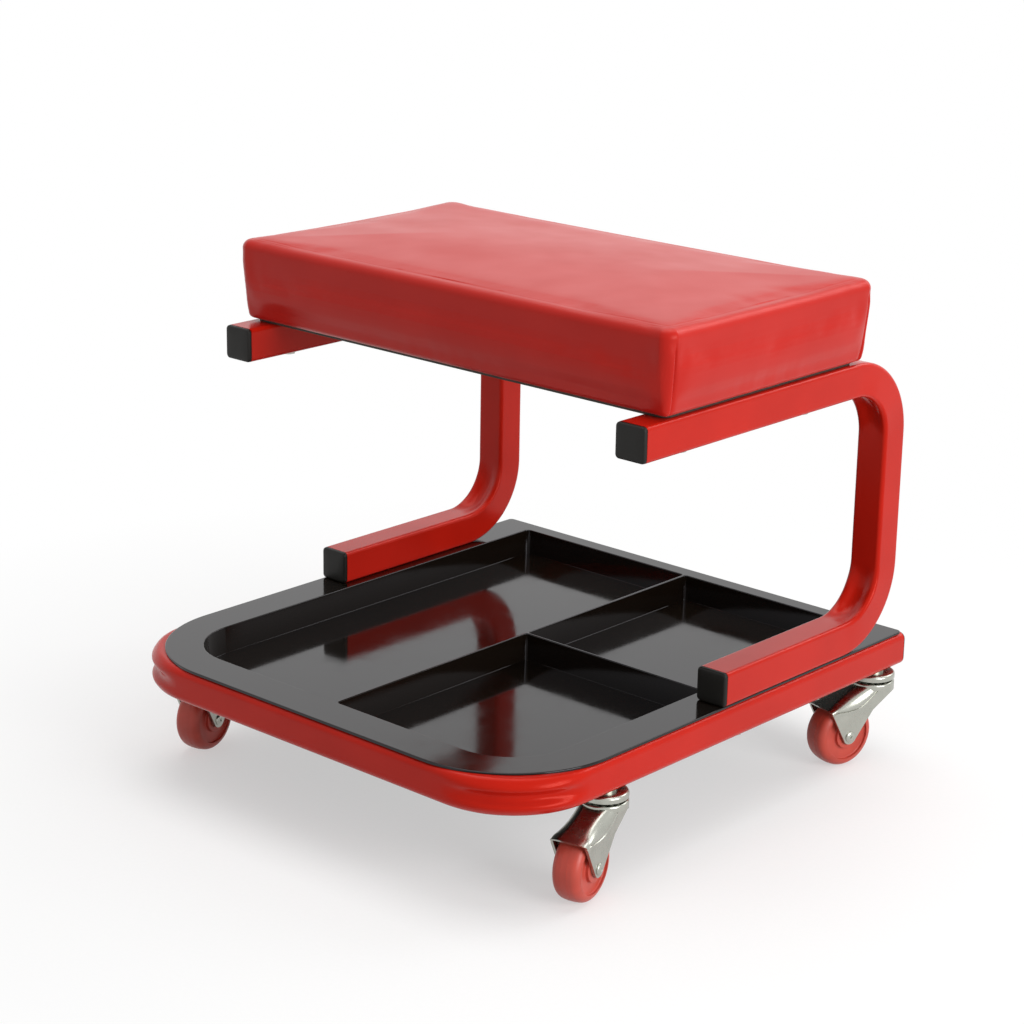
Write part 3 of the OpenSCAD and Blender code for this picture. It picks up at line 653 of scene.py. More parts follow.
def build_side_frame(side, base_sizes, sizes):
    """One C frame, bent from one tube in the YZ plane."""
    name = "right" if side > 0 else "left"
    low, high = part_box(name + "_side_frame")
    half = TUBE / 2
    x = (low.x + high.x) / 2
    mid_r = sizes.bend - half
    back = high.y - half
    bend_y = back - mid_r
    z_low, z_high = low.z + half, high.z - half
    lower_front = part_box(name + "_lower_cap")[0].y + sizes.cap_head
    path = Path()
    path.straight((x, lower_front, z_low), (x, bend_y, z_low), (0, 0, -1), 14)
    path.turn((x, bend_y, z_low + mid_r), mid_r, (0, 0, -1), (0, 1, 0), BEND_ROWS)
    path.straight((x, back, z_low + mid_r), (x, back, z_high - mid_r), (0, 1, 0), 8)
    path.turn((x, bend_y, z_high - mid_r), mid_r, (0, 1, 0), (0, 0, 1), BEND_ROWS)
    path.straight((x, bend_y, z_high), (x, low.y, z_high), (0, 0, 1), 18)
    path.end((x, low.y, z_high), (0, 0, 1))
    bm = bmesh.new()
    sweep_tube(bm, path, (1, 0, 0), sizes.corner, base_sizes.wall,
               (-1, sizes.dent, 0.84, 0.0), 16 * MM)
    make_piece(name + "_c_tube", bm, "root", "red_enamel", [name + "_side_frame"])


def build_end_cap(name, side, sizes, corner, wall):
    """A moulded cap: a head with a rounded face on a ribbed plug. side is its direction in Y."""
    low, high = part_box(name)
    x, z = (low.x + high.x) / 2, (low.z + high.z) / 2
    root, tip = (high.y, low.y) if side < 0 else (low.y, high.y)
    head = sizes.cap_head if side < 0 else 2 * MM
    round_r = min(sizes.cap_round, head * 0.6)
    half, hair = TUBE / 2, 0.1 * MM
    seat, bore = tip - side * head, half - wall
    # Places along Y and half widths, from the plug's inner end to the middle of the face
    profile = [(root + side * 2 * hair, bore - 1.2 * MM), (seat - side * 2 * hair, bore - 0.7 * MM),
               (seat, half - 6 * hair), (seat + side * 3 * hair, half - hair)]
    profile += [(tip - side * (round_r + 3 * hair) + side * round_r * math.sin(t),
                 half - hair - round_r * (1 - math.cos(t)))
                for t in np.linspace(0, math.pi / 2, 6)]
    profile += [(tip - side * hair, half * 0.75), (tip, half * 0.4)]
    rings = []
    for y, reach in profile:
        r = min(corner, reach * 0.4) * (1.0 if reach > half * 0.8 else 0.8)
        outline = rounded_outline(-reach, reach, -reach, reach, [r] * 4, steps=6)
        rings.append([(x + a, y, z + b) for a, b in outline])
    bm = bmesh.new()
    bridge(bm, rings, (True, True))
    make_piece(name.replace("_cap", "_end_cap").replace("_plug", "_end_plug"), bm, "root",
               "black_cap_plastic", [name])


# Tray

def rounded_lip(grow, z, radius, way):
    """Growths and heights round a lip, from its flat top to its wall. way is -1 outwards."""
    return [(grow + way * radius * (1 - math.sin(t)), z - radius * (1 - math.cos(t)))
            for t in QUARTER]


def floor_fillet(grow, z, radius):
    """Growths and heights from a wall down to the floor inside it."""
    return [(grow - radius * (1 - math.cos(t)), z + radius * (1 - math.sin(t)))
            for t in QUARTER]


def tray_rings(bm, box, levels, steps):
    """Rings of a rounded rectangle at its growths and heights, joined from first to last."""
    return bridge(bm, [
        at_height(rounded_outline(*box, grow=g, steps=steps), z) for g, z in levels])


def build_tray(sizes):
    """The moulded tray with three bays, rounded rims and floor fillets."""
    edge, wall, corner = sizes.edge, sizes.wall, sizes.bay_corner
    top, x1 = TRAY_HIGH.z, TRAY_HIGH.x
    under, floor = top - wall, top - sizes.depth
    bottom = floor - wall
    front, rear = TRAY_LOW.y, TRAY_HIGH.y
    bay_x, half = x1 - sizes.flange, wall / 2
    bay_front, bay_rear = front + sizes.flange, rear - sizes.rear_flange
    # Radii at the dividers and at the rear, the wall's draft, and the radius under the tray
    small, rear_r, draft, round_r = 2.2 * MM, 4 * MM, 0.6 * MM, 1.2 * MM
    hair = 0.1 * MM
    bays = (
        (-bay_x, -half, bay_front, bay_rear, (corner, small, small, rear_r)),
        (half, bay_x, bay_front, sizes.divider_y - half, (small, corner, small, small)),
        (half, bay_x, sizes.divider_y + half, bay_rear, (small, small, rear_r, small)),
    )
    bm = bmesh.new()
    bay_levels = [(edge + 2 * hair, top), *rounded_lip(0.0, top, edge, 1),
                  (-draft + hair, floor + sizes.fillet), *floor_fillet(-draft, floor, sizes.fillet),
                  (-draft - sizes.fillet - 4 * hair, floor)]
    rims = []
    for bay in bays:
        loops = tray_rings(bm, bay, bay_levels, 10)
        rims.append(loops[0])
        fill_between(bm, [loops[-1]])
    outer = (-x1, x1, front, rear, (sizes.corner, sizes.corner, rear_r, rear_r))
    skirt = tray_rings(bm, outer, [
        (-edge - 2 * hair, top), *rounded_lip(0.0, top, edge, -1),
        (0.0, under + 4 * hair), (-4 * hair, under), (-8 * hair, under)], 28)
    fill_between(bm, [skirt[0], *rims])
    box = (-bay_x - wall, bay_x + wall, bay_front - wall, bay_rear + wall,
           (corner + wall, corner + wall, rear_r + wall, rear_r + wall))
    body = tray_rings(bm, box, [
        (4 * hair, under), (0.0, under - 4 * hair), *floor_fillet(-5 * hair, bottom, round_r),
        (-9 * hair - round_r, bottom)], 20)
    fill_between(bm, [skirt[-1], body[0]])
    fill_between(bm, [body[-1]])
    make_piece("moulded_tray", bm, "root", "black_tray_plastic", ["tray"], sharp=40.0)


# Seat

def grid_lines(half, fine, step):
    """Places across a pad, close together near both ends."""
    count = max(int(round(2 * (half - fine[-1]) / step)), 2)
    middle = np.linspace(-half + fine[-1], half - fine[-1], count + 1)
    ends = half - np.array(fine[:-1])
    return np.concatenate([-ends, middle, ends[::-1]])


def box_grid(xs, ys, zs):
    """Points and quads of a box's surface, from its grid lines along each axis."""
    index, points, quads = {}, [], []

    def place(i, j, k):
        if (i, j, k) not in index:
            index[i, j, k] = len(points)
            points.append((xs[i], ys[j], zs[k]))
        return index[i, j, k]

    def quad(*corners):
        quads.append([place(*corner) for corner in corners])

    nx, ny, nz = len(xs) - 1, len(ys) - 1, len(zs) - 1
    for i in range(nx):
        for j in range(ny):
            quad((i, j, 0), (i, j + 1, 0), (i + 1, j + 1, 0), (i + 1, j, 0))
            quad((i, j, nz), (i + 1, j, nz), (i + 1, j + 1, nz), (i, j + 1, nz))
    for k in range(nz):
        for i in range(nx):
            quad((i, 0, k), (i + 1, 0, k), (i + 1, 0, k + 1), (i, 0, k + 1))
            quad((i, ny, k), (i, ny, k + 1), (i + 1, ny, k + 1), (i + 1, ny, k))
        for j in range(ny):
            quad((0, j, k), (0, j, k + 1), (0, j + 1, k + 1), (0, j + 1, k))
            quad((nx, j, k), (nx, j + 1, k), (nx, j + 1, k + 1), (nx, j, k + 1))
    return np.array(points), quads


def edge_turn(flat, inwards, rise, radius):
    """How far round a rounded edge each point is, from 0 on the side to 90 degrees on the flat."""
    across = 0.5 + 0.5 * np.clip(inwards / radius, 0, 1)
    along = 0.5 * np.clip(rise / radius, 0, 1)
    return np.where(flat, across, along) * math.pi / 2


def pad_shape(points, half_x, half_y, height, sizes):
    """Turns a box's surface into the pad: rounded edges, drawn-in sides, crown and pocket."""
    radius, edge, foot, draw_in = sizes.corner, sizes.edge, sizes.foot, sizes.draw_in
    x, y, z = points.T
    side_x, side_y = np.sign(x), np.sign(y)
    in_x, in_y = half_x - np.abs(x), half_y - np.abs(y)
    inwards = np.minimum(in_x, in_y)
    top, bottom = z > height - 1e-7, z < 1e-7
    upper, lower = z > height - edge, z < foot
    # In plan: the centre that each point near an upright edge turns round, and its direction
    a, b = np.clip(radius - in_x, 0, None), np.clip(radius - in_y, 0, None)
    corner, near = (a > 0) & (b > 0), np.maximum(a, b)
    length = np.maximum(np.hypot(a, b), 1e-9)
    out_x = np.where(corner, a / length, a > 0) * side_x
    out_y = np.where(corner, b / length, (b > 0) & ~(a > 0)) * side_y
    base_x = np.where(a > 0, side_x * (half_x - radius), x)
    base_y = np.where(b > 0, side_y * (half_y - radius), y)
    # The rounded edge round the top, and the one round the foot
    turn = edge_turn(top, inwards, z - height + edge, edge)
    top_inset = np.where(inwards < edge, edge * (1 - np.cos(turn)), inwards)
    top_level = height - edge * (1 - np.sin(turn))
    turn = edge_turn(bottom, inwards, foot - z, foot)
    foot_inset, foot_level = foot * (1 - np.cos(turn)), foot * (1 - np.sin(turn))
    # Under the pad the cover rolls in to the wall of the board's pocket
    rim = BOARD_LOW.x + BOARD_TRIM + half_x - POCKET_GAP
    under = np.interp(inwards, [foot, *POCKET_WALL, radius],
                      [draw_in + foot, rim, rim + 0.02 * MM, radius])
    under = np.where(inwards < foot, draw_in + foot_inset, under)
    share = np.clip(z / (height - edge), 0, 1)
    drawn = draw_in * (1 - share) ** 1.5
    sides = np.where(upper, top_inset, drawn + np.where(lower, foot_inset, 0))
    inset = np.where(top, top_inset, np.where(bottom, under, sides))
    level = np.where(top | upper, top_level, np.where(lower, foot_level, z))
    pocket = BOARD_HIGH.z - PAD_FOOT + POCKET_RISE
    level = np.where(bottom & (inwards > sum(POCKET_WALL) / 2), pocket, level)
    rise = 0.5 - 0.5 * np.cos(math.pi * np.clip((inwards - edge) / (half_y - edge), 0, 1))
    level = level + np.where(top, sizes.crown * rise, 0)
    reach = np.where(near > 0, radius - np.minimum(inset, radius), 0)
    moved = np.stack([base_x + out_x * reach, base_y + out_y * reach, level], 1)
    # The sides pull in a little between the corners
    slack = 1.2 * MM * share * (near > 0) * ~bottom
    moved[:, 0] -= slack * side_x * (np.abs(out_x) > 0.99) * (1 - (y / half_y) ** 2)
    moved[:, 1] -= slack * side_y * (np.abs(out_y) > 0.99) * (1 - (x / half_x) ** 2)
    return moved


def pad_mesh(name, fine, step, levels, sizes, shrink=0.0):
    """The pad as a mesh object round the origin of its box."""
    size = CUSHION_HIGH - CUSHION_LOW
    half_x, half_y = size.x / 2, size.y / 2
    height = CUSHION_HIGH.z - PAD_FOOT - sizes.crown
    zs = np.interp(levels, [0, 1, 2, 3], [0, sizes.foot, height - sizes.edge, height])
    flat, quads = box_grid(grid_lines(half_x, fine, step), grid_lines(half_y, fine, step), zs)
    points = pad_shape(flat, half_x, half_y, height, sizes)
    if shrink:
        points *= 1 - shrink / np.array([half_x, half_y, height])
    points += [0, (CUSHION_LOW.y + CUSHION_HIGH.y) / 2, PAD_FOOT]
    mesh = bpy.data.meshes.new(name)
    mesh.from_pydata(points.tolist(), [], quads)
    return place_object(name, mesh), points


def swelled(sizes):
    """Runs a coarse pad, a little smaller, as cloth under pressure. Returns rest and moves."""
    scene = bpy.context.scene
    levels = [0, *np.linspace(1, 2, 11), 2.5, 3]
    fine = [f * MM for f in (0, 1.5, 3.5, 7, 10.5)]
    made, rest = pad_mesh("pressure_form", fine, 4.5 * MM, levels, sizes, shrink=1 * MM)
    held = made.vertex_groups.new(name="held")
    held.add([k for k, p in enumerate(rest) if p[2] < BOARD_HIGH.z + 0.5 * MM], 1.0, "REPLACE")
    cloth = made.modifiers.new("pressure", "CLOTH")
    cloth.settings.use_pressure = True
    cloth.settings.uniform_pressure_force = 4.0
    cloth.settings.effector_weights.gravity = 0.0
    cloth.settings.quality = 5
    cloth.settings.mass = 0.4
    cloth.settings.tension_stiffness = 25.0
    cloth.settings.compression_stiffness = 25.0
    cloth.settings.bending_stiffness = 2.0
    cloth.settings.vertex_group_mass = "held"
    steps = 20
    cloth.point_cache.frame_start = 1
    cloth.point_cache.frame_end = steps
    for step in range(1, steps + 1):
        scene.frame_set(step)
    evaluated = made.evaluated_get(bpy.context.evaluated_depsgraph_get())
    moved = np.zeros(len(rest) * 3)
    evaluated.data.vertices.foreach_get("co", moved)
    scene.frame_set(1)
    bpy.data.objects.remove(made)
    return rest, moved.reshape(-1, 3) - rest


def spread_moves(points, rest, moves, cap):
    """Carries the coarse pad's moves to the fine one, each held to the swell limit."""
    tree = KDTree(len(rest))
    for k, p in enumerate(rest):
        tree.insert(p, k)
    tree.balance()
    length = np.linalg.norm(moves, axis=1, keepdims=True)
    held = moves * cap * np.tanh(length / cap) / np.maximum(length, 1e-9)
    result = np.zeros_like(points)
    for k, p in enumerate(points):
        found = tree.find_n(p, 8)
        weights = np.array([1 / (f[2] + 2 * MM) ** 2 for f in found])
        result[k] = (held[[f[1] for f in found]] * weights[:, None]).sum(0) / weights.sum()
    return result


def corner_pleats(points, sizes):
    """The cover's folds: a layer that comes round each corner and ends on the pad's end face."""
    middle = (np.array(CUSHION_LOW) + np.array(CUSHION_HIGH)) / 2
    half = (np.array(CUSHION_HIGH) - np.array(CUSHION_LOW)) / 2
    local = points - middle
    height = (points[:, 2] - PAD_FOOT) / (CUSHION_HIGH.z - PAD_FOOT - sizes.crown)
    down = (1 - smooth_step(0.72, 0.88, height)) * smooth_step(-0.01, 0.03, height)
    inset = sizes.draw_in * np.clip(1 - height, 0, 1) ** 1.5
    radius = np.maximum(sizes.corner - inset, 3 * MM)
    step, groove_step, dimple_step = sizes.pleat * np.array([0.6, 1.3, 0.35])
    moved = np.zeros(len(points))
    for sx in (-1, 1):
        for sy in (-1, 1):
            x, y = sx * local[:, 0], sy * local[:, 1]
            # Distance along the end face from the fold to the corner
            along = y - (half[1] - inset - 0.75 * radius - 0.6 * MM * (1 - height))
            here = (x > half[0] - 30 * MM) & (y > half[1] - 50 * MM)
            on_end = smooth_step(-11 * MM, -6 * MM, x - half[0] + inset)
            round_corner = np.exp(-np.clip(half[0] - inset - x, 0, 1) / (12 * MM))
            layer = smooth_step(0.0, 0.8 * MM, along) * round_corner
            groove = np.exp(-(np.abs(along + 0.2 * MM) / (0.9 * MM)) ** 1.5)
            dimple = np.exp(-(along / (5 * MM)) ** 2 - ((height - 0.82) / 0.08) ** 2)
            fold = step * layer - groove_step * groove * on_end
            moved += here * (down * fold - dimple_step * dimple * on_end)
    return moved


def tension_marks(points):
    """Shallow drag lines low on the sides, where the cover is pulled round the board."""
    low, high = CUSHION_LOW, CUSHION_HIGH
    depth, end_pitch, side_pitch = 0.2 * MM, 41 * MM, 63 * MM
    half_x, half_y = (high.x - low.x) / 2, (high.y - low.y) / 2
    x, y = points[:, 0], points[:, 1] - (low.y + high.y) / 2
    height = (points[:, 2] - PAD_FOOT) / (high.z - PAD_FOOT)
    fade = np.exp(-((height - 0.12) / 0.13) ** 2)
    ends = smooth_step(half_x - 14 * MM, half_x - 8 * MM, np.abs(x))
    sides = smooth_step(half_y - 14 * MM, half_y - 8 * MM, np.abs(y)) * (1 - ends)
    slanted = y + 0.25 * (points[:, 2] - low.z)
    short = np.sin(slanted * 2 * math.pi / end_pitch + 3 * np.sin(y * 40)) ** 3
    long = np.sin(x * 2 * math.pi / side_pitch + 2 * np.sin(x * 31)) ** 3
    return depth * fade * (ends * short + sides * long)


def build_board():
    """The plywood board in the pad's foot, with rounded corners and eased edges."""
    radius, ease = 8 * MM, 0.5 * MM
    x, low_y, high_y = (
        BOARD_HIGH.x - BOARD_TRIM, BOARD_LOW.y + BOARD_TRIM, BOARD_HIGH.y - BOARD_TRIM)
    levels = ((-ease, BOARD_LOW.z), (0.0, BOARD_LOW.z + ease),
              (0.0, BOARD_HIGH.z - ease), (-ease, BOARD_HIGH.z))
    bm = bmesh.new()
    bridge(bm, [at_height(rounded_outline(-x, x, low_y, high_y, [radius] * 4, grow=g), z)
                for g, z in levels], (True, True))
    make_piece("dipped_plywood_board", bm, "root", "seat_board_wood", ["seat_board"])


def build_cushion(sizes):
    """Foam under vinyl: a crowned form swelled by cloth, then folded at its corners."""
    fine = [f * MM for f in (
        0, 0.6, 1.3, 2.2, 3.5, 5, 5.25, 6, 6.5, 7, 7.4, 7.8, 8.2, 8.7, 9.3, 10, 11.2, 13)]
    levels = [0, 0.35, 0.7, *np.linspace(1, 2, 34), 2.2, 2.4, 2.6, 2.8, 3]
    made, points = pad_mesh("padded_vinyl_seat", fine, 2.6 * MM, levels, sizes)
    rest, moves = swelled(sizes)
    lift = spread_moves(points, rest, moves, sizes.swell_cap)
    points += lift * smooth_step(0.0, 20 * MM, points[:, 2] - PAD_FOOT)[:, None]
    made.data.vertices.foreach_set("co", points.ravel())
    made.data.update()
    normals = np.zeros(points.size)
    made.data.vertices.foreach_get("normal", normals)
    amount = corner_pleats(points, sizes) + tension_marks(points)
    points += normals.reshape(-1, 3) * amount[:, None]
    made.data.vertices.foreach_set("co", points.ravel())
    made.data.update()
    made.data.shade_smooth()
    made.data.materials.append(MATERIALS["red_vinyl"])
    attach(made, "root")
    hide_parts("seat_cushion")


# Casters

def joint_axis(name):
    """Place and direction of a joint of the frame."""
    found = next(j for j in frame["joints"] if j["name"] == name)
    return np.array(found["pos_m"]), np.array(found["axis"], float)


def lathe(bm, centre, axis, profile, count=96):
    """Turns a closed profile of (along, radius) round an axis."""
    axis = axis / np.linalg.norm(axis)
    up = np.array([0.0, 0.0, 1.0])
    if abs(axis[2]) > 0.9:
        up = np.array([1.0, 0.0, 0.0])
    side = np.cross(axis, up)
    side /= np.linalg.norm(side)
    up = np.cross(side, axis)
    loops = []
    for t in np.linspace(0, 2 * math.pi, count, endpoint=False):
        out = math.cos(t) * side + math.sin(t) * up
        loops.append([bm.verts.new(centre + along * axis + radius * out)
                      for along, radius in profile])
    for k in range(count):
        a, b = loops[k], loops[(k + 1) % count]
        for m in range(len(profile)):
            n = (m + 1) % len(profile)
            bm.faces.new((a[m], a[n], b[n], b[m]))


def arc_points(centre, radius, start, end, steps):
    """Points of an arc in (along, radius), in degrees."""
    return [(centre[0] + radius * math.cos(a), centre[1] + radius * math.sin(a))
            for a in np.radians(np.linspace(start, end, steps + 1))]


def build_wheel(name, sizes):
    """A cast wheel: crowned tread, recessed faces with soft edges, and a raised hub."""
    centre, axis = joint_axis(name + "_roll")
    radius = centre[2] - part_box(name + "_wheel")[0].z
    half, tread, hub, recess = 10.5 * MM, sizes.tread_round, sizes.hub, sizes.recess
    bore, proud, rim, chamfer = 5.05 * MM, 0.7 * MM, radius - 6.2 * MM, 0.4 * MM
    # Radii at the hub's edge and foot, and at the rim's foot and edge
    hub_r, hub_foot, rim_foot, rim_r = [r * MM for r in (0.6, 0.8, 1.0, 0.7)]
    right = [(half + proud, bore + chamfer)]
    right += arc_points((half + proud - hub_r, hub - hub_r), hub_r, 0, 90, 4)
    right += arc_points((half - recess + hub_foot, hub + hub_foot), hub_foot, 270, 180, 4)
    right += arc_points((half - recess + rim_foot, rim - rim_foot), rim_foot, 180, 90, 4)
    right += arc_points((half - rim_r, rim + rim_r), rim_r, 270, 360, 4)
    right += arc_points((half - tread, radius - 0.3 * MM - tread), tread, 0, 84, 9)
    crown = [(half - tread - 2 * MM, radius - 0.1 * MM), (2.5 * MM, radius)]
    left = [(-a, b) for a, b in reversed(right + crown)]
    profile = right + crown + left
    profile += [(-half - proud + chamfer, bore), (half + proud - chamfer, bore)]
    bm = bmesh.new()
    lathe(bm, centre, axis, profile)
    make_piece(name + "_cast_wheel", bm, name + "_wheel_body", "polyurethane",
               [name + "_wheel"], sharp=50.0)


def build_axle(name, sizes):
    """The riveted axle: a plain pin with a low domed head on each side of the fork."""
    centre, axis = joint_axis(name + "_roll")
    plate, dome, height = 14 * MM, sizes.rivet, 1.7 * MM
    skirt, dimple = 0.3 * MM, 0.6 * MM
    right = [(plate + height - dimple, dimple), (plate + height, dimple + 0.5 * MM)]
    right += [(plate + skirt + (height - skirt) * math.cos(t), dome * math.sin(t))
              for t in np.radians(np.linspace(24, 90, 9))]
    right += [(plate, dome), (plate, sizes.shank / 2)]
    profile = right + [(-a, b) for a, b in reversed(right)]
    bm = bmesh.new()
    lathe(bm, centre, axis, profile, 48)
    make_piece(name + "_axle_rivet", bm, name + "_fork_body", "zinc_plated_steel",
               [name + "_axle", name + "_axle_nut"], sharp=50.0)


def loose_object(name, bm):
    """A throw-away object made from a bmesh."""
    mesh = bpy.data.meshes.new(name)
    bmesh.ops.recalc_face_normals(bm, faces=bm.faces)
    bm.to_mesh(mesh)
    bm.free()
    return place_object(name, mesh)


def carved(bm, *cuts):
    """A bmesh after boolean steps, each an operation and the bmesh it works with."""
    base = loose_object("carved", bm)
    tools = []
    for operation, tool in cuts:
        tools.append(loose_object("tool", tool))
        step = base.modifiers.new("carve", "BOOLEAN")
        step.operation, step.solver, step.object = operation, "EXACT", tools[-1]
    apply_modifiers(base)
    bm = bmesh.new()
    bm.from_mesh(base.data)
    for used in (base, *tools):
        bpy.data.objects.remove(used)
    return bm


def fork_channel(sizes, start, slope, inset, length):
    """A straight channel under the hood's line, with long rounded edges that swell and narrow."""
    half = sizes.fork_width / 2 - inset
    least, sharpest = 2.5 * MM, 0.6 * MM
    along = np.array([math.cos(slope), -math.sin(slope)])
    inwards = np.array([-math.sin(slope), -math.cos(slope)])
    rings = []
    for t in np.linspace(-0.6, 1.4, 41):
        # Across the hood the bend widens to the lip. Down the side it is deepest halfway.
        wide, deep = [
            max(least + (sizes.hood_bend - least) * math.sin(math.pi * min(max(share, 0.0), 1.0))
                - inset, sharpest) for share in (0.4 * t + 0.2, 0.7 * t + 0.18)]
        place = start + along * t * length + inwards * inset
        line = [(-half, FAR)]
        if not inset:
            # The line pressed into the side below the bend, from its lower edge to its upper one
            line += [(-half + depth, deep + below * MM) for depth, below in (
                (0.0, 1.8), (sizes.emboss, 1.3), (sizes.emboss, 1.0), (0.0, 0.5))]
        line += [(-half + wide * (1 - math.cos(q)), deep * (1 - math.sin(q)))
                 for q in np.linspace(0, math.pi / 2, 11)]
        line += [(-w, d) for w, d in line[:0:-1]] + [(half, FAR)]
        rings.append([
            (place[0] + inwards[0] * d, w, place[1] + inwards[1] * d) for w, d in line])
    bm = bmesh.new()
    bridge(bm, rings, (True, True))
    return bm


def fork_side(sizes, reach, radius, top):
    """Side outline of the fork, drawn right across its width and beyond."""
    back, under, edge = sizes.fork_back, top - sizes.sheet, top - 0.4 * MM
    # From the rear foot round the axle, up past the lip and back over the hood
    outline = [(-back, edge), (-back, under - sizes.skirt),
               (0.3 * reach, under - 0.5 * (under - radius))]
    outline += [(reach + sizes.boss * math.cos(t), radius + sizes.boss * math.sin(t))
                for t in np.radians(np.linspace(205, 335, 16))]
    hood, lip = radius + HOOD_ROOM, math.radians(50)
    outline += [(reach + k * hood * math.cos(lip), radius + k * hood * math.sin(lip))
                for k in (1, 2)]
    outline.append((0.0, edge))
    bm = bmesh.new()
    bridge(bm, [[(u, w, z) for u, z in outline] for w in (-20 * MM, 20 * MM)], (True, True))
    return bm


def build_forks(sizes):
    """Pressed forks: hood with a line pressed in beside its bends, side plates and swivel disc."""
    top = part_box(CASTERS[0] + "_fork")[1].z
    pivot, axle = joint_axis(CASTERS[0] + "_swivel")[0], joint_axis(CASTERS[0] + "_roll")[0]
    reach, radius = math.hypot(*(axle - pivot)[:2]), axle[2]
    # The hood's line starts at the disc and passes over the wheel
    start, hood = np.array([sizes.hood_start, top]), radius + HOOD_ROOM
    away = np.array([reach, radius]) - start
    slope = math.atan2(-away[1], away[0]) - math.asin(hood / np.linalg.norm(away))
    length = math.sqrt(away @ away - hood ** 2)
    bm = carved(fork_channel(sizes, start, slope, 0.0, length),
                ("INTERSECT", fork_side(sizes, reach, radius, top)),
                ("DIFFERENCE", fork_channel(sizes, start, slope, sizes.sheet, length)))
    disc, hole, shoulder = sizes.disc / 2, 4.5 * MM, 1.6 * MM
    under = top - sizes.sheet
    foot = under - sizes.rim
    profile = [(foot, disc - sizes.sheet), (under, disc - sizes.sheet), (under, hole), (top, hole)]
    profile += [(top - shoulder * (1 - math.cos(q)), disc - shoulder * (1 - math.sin(q)))
                for q in np.linspace(0, math.pi / 2, 6)]
    profile += [(foot, disc)]
    plates = len(bm.verts)
    lathe(bm, np.zeros(3), np.array([0.0, 0.0, 1.0]), profile, 64)
    # Behind the swivel axis the rim goes down to the foot of the side plates
    for vert in list(bm.verts)[plates:]:
        if vert.co.z < foot + 0.1 * MM:
            behind = smooth_step(-0.2, 0.6, -vert.co.x / disc)
            vert.co.z -= (sizes.skirt - sizes.rim) * behind
    bmesh.ops.recalc_face_normals(bm, faces=bm.faces)
    for name in CASTERS:
        pivot, axle = joint_axis(name + "_swivel")[0], joint_axis(name + "_roll")[0]
        turn = math.atan2(axle[1] - pivot[1], axle[0] - pivot[0])
        placed = bm.copy()
        placed.transform(
            Matrix.Translation((pivot[0], pivot[1], 0)) @ Matrix.Rotation(turn, 4, "Z"))
        make_piece(name + "_pressed_fork", placed, name + "_fork_body", "zinc_plated_steel",
                   [name + "_fork"], turn=False)
    bm.free()


# Fasteners

def start_tree(name, sockets):
    """A Geometry Nodes tree with its named inputs. Returns it and its input node."""
    tree = bpy.data.node_groups.new(name, "GeometryNodeTree")
    tree.interface.new_socket("Geometry", in_out="OUTPUT", socket_type="NodeSocketGeometry")
    tree.interface.new_socket("Geometry", in_out="INPUT", socket_type="NodeSocketGeometry")
    for label, kind in sockets:
        tree.interface.new_socket(label, in_out="INPUT", socket_type="NodeSocket" + kind)
    tree.interface.new_socket("Material", in_out="INPUT", socket_type="NodeSocketMaterial")
    return tree, node(tree, "NodeGroupInput").outputs


def end_tree(tree, given, instance, turned=True):
    """Puts the instance on every point, makes it real and gives it its finish."""
    inputs = {"Points": given["Geometry"], "Instance": instance}
    if turned:
        inputs["Rotation"] = given["Turn"]
    placed = node(tree, "GeometryNodeInstanceOnPoints", inputs)
    real = node(tree, "GeometryNodeRealizeInstances", {"Geometry": placed.outputs[0]})
    finished = node(tree, "GeometryNodeSetMaterial", {
        "Geometry": real.outputs[0], "Material": given["Material"]})
    node(tree, "NodeGroupOutput", {"Geometry": finished.outputs[0]})
    return tree


def raised_cylinder(tree, vertices, radius, depth, middle):
    """A closed cylinder round Z whose middle stands at a height."""
    made = node(tree, "GeometryNodeMeshCylinder", {
        "Vertices": vertices, "Radius": radius, "Depth": depth})
    shift = node(tree, "ShaderNodeCombineXYZ", {"Z": middle})
    return node(tree, "GeometryNodeTransform", {
        "Geometry": made.outputs["Mesh"], "Translation": shift.outputs[0]}).outputs[0]


def hex_bolt_tree():
    """Hexagon bolts: a chamfered head below each point and its shank above."""
    tree, given = start_tree("hex_bolts", [
        ("Across Flats", "Float"), ("Head Height", "Float"), ("Shank Diameter", "Float"),
        ("Shank Length", "Float"), ("Turn", "Vector")])
    corner, face, wide, mid_head, low_head, radius, mid_shank = [
        node(tree, "ShaderNodeMath", {0: given[size], 1: share}, operation="MULTIPLY").outputs[0]
        for size, share in (
            ("Across Flats", 1 / math.sqrt(3)), ("Across Flats", 0.47), ("Across Flats", 1.1),
            ("Head Height", -0.5), ("Head Height", -1.0),
            ("Shank Diameter", 0.5), ("Shank Length", 0.5))]
    prism = raised_cylinder(tree, 6, corner, given["Head Height"], mid_head)
    # A flat cone takes the head's corners off
    cone = node(tree, "GeometryNodeMeshCone", {
        "Vertices": 48, "Radius Bottom": face, "Radius Top": wide, "Depth": given["Head Height"]})
    shift = node(tree, "ShaderNodeCombineXYZ", {"Z": low_head})
    chamfer = node(tree, "GeometryNodeTransform", {
        "Geometry": cone.outputs["Mesh"], "Translation": shift.outputs[0]})
    cut = node(tree, "GeometryNodeMeshBoolean", operation="INTERSECT")
    for part in (prism, chamfer.outputs[0]):
        tree.links.new(part, cut.inputs["Mesh 2"])
    shank = raised_cylinder(tree, 24, radius, given["Shank Length"], mid_shank)
    both = node(tree, "GeometryNodeJoinGeometry")
    for part in (cut.outputs["Mesh"], shank):
        tree.links.new(part, both.inputs[0])
    return end_tree(tree, given, both.outputs[0])


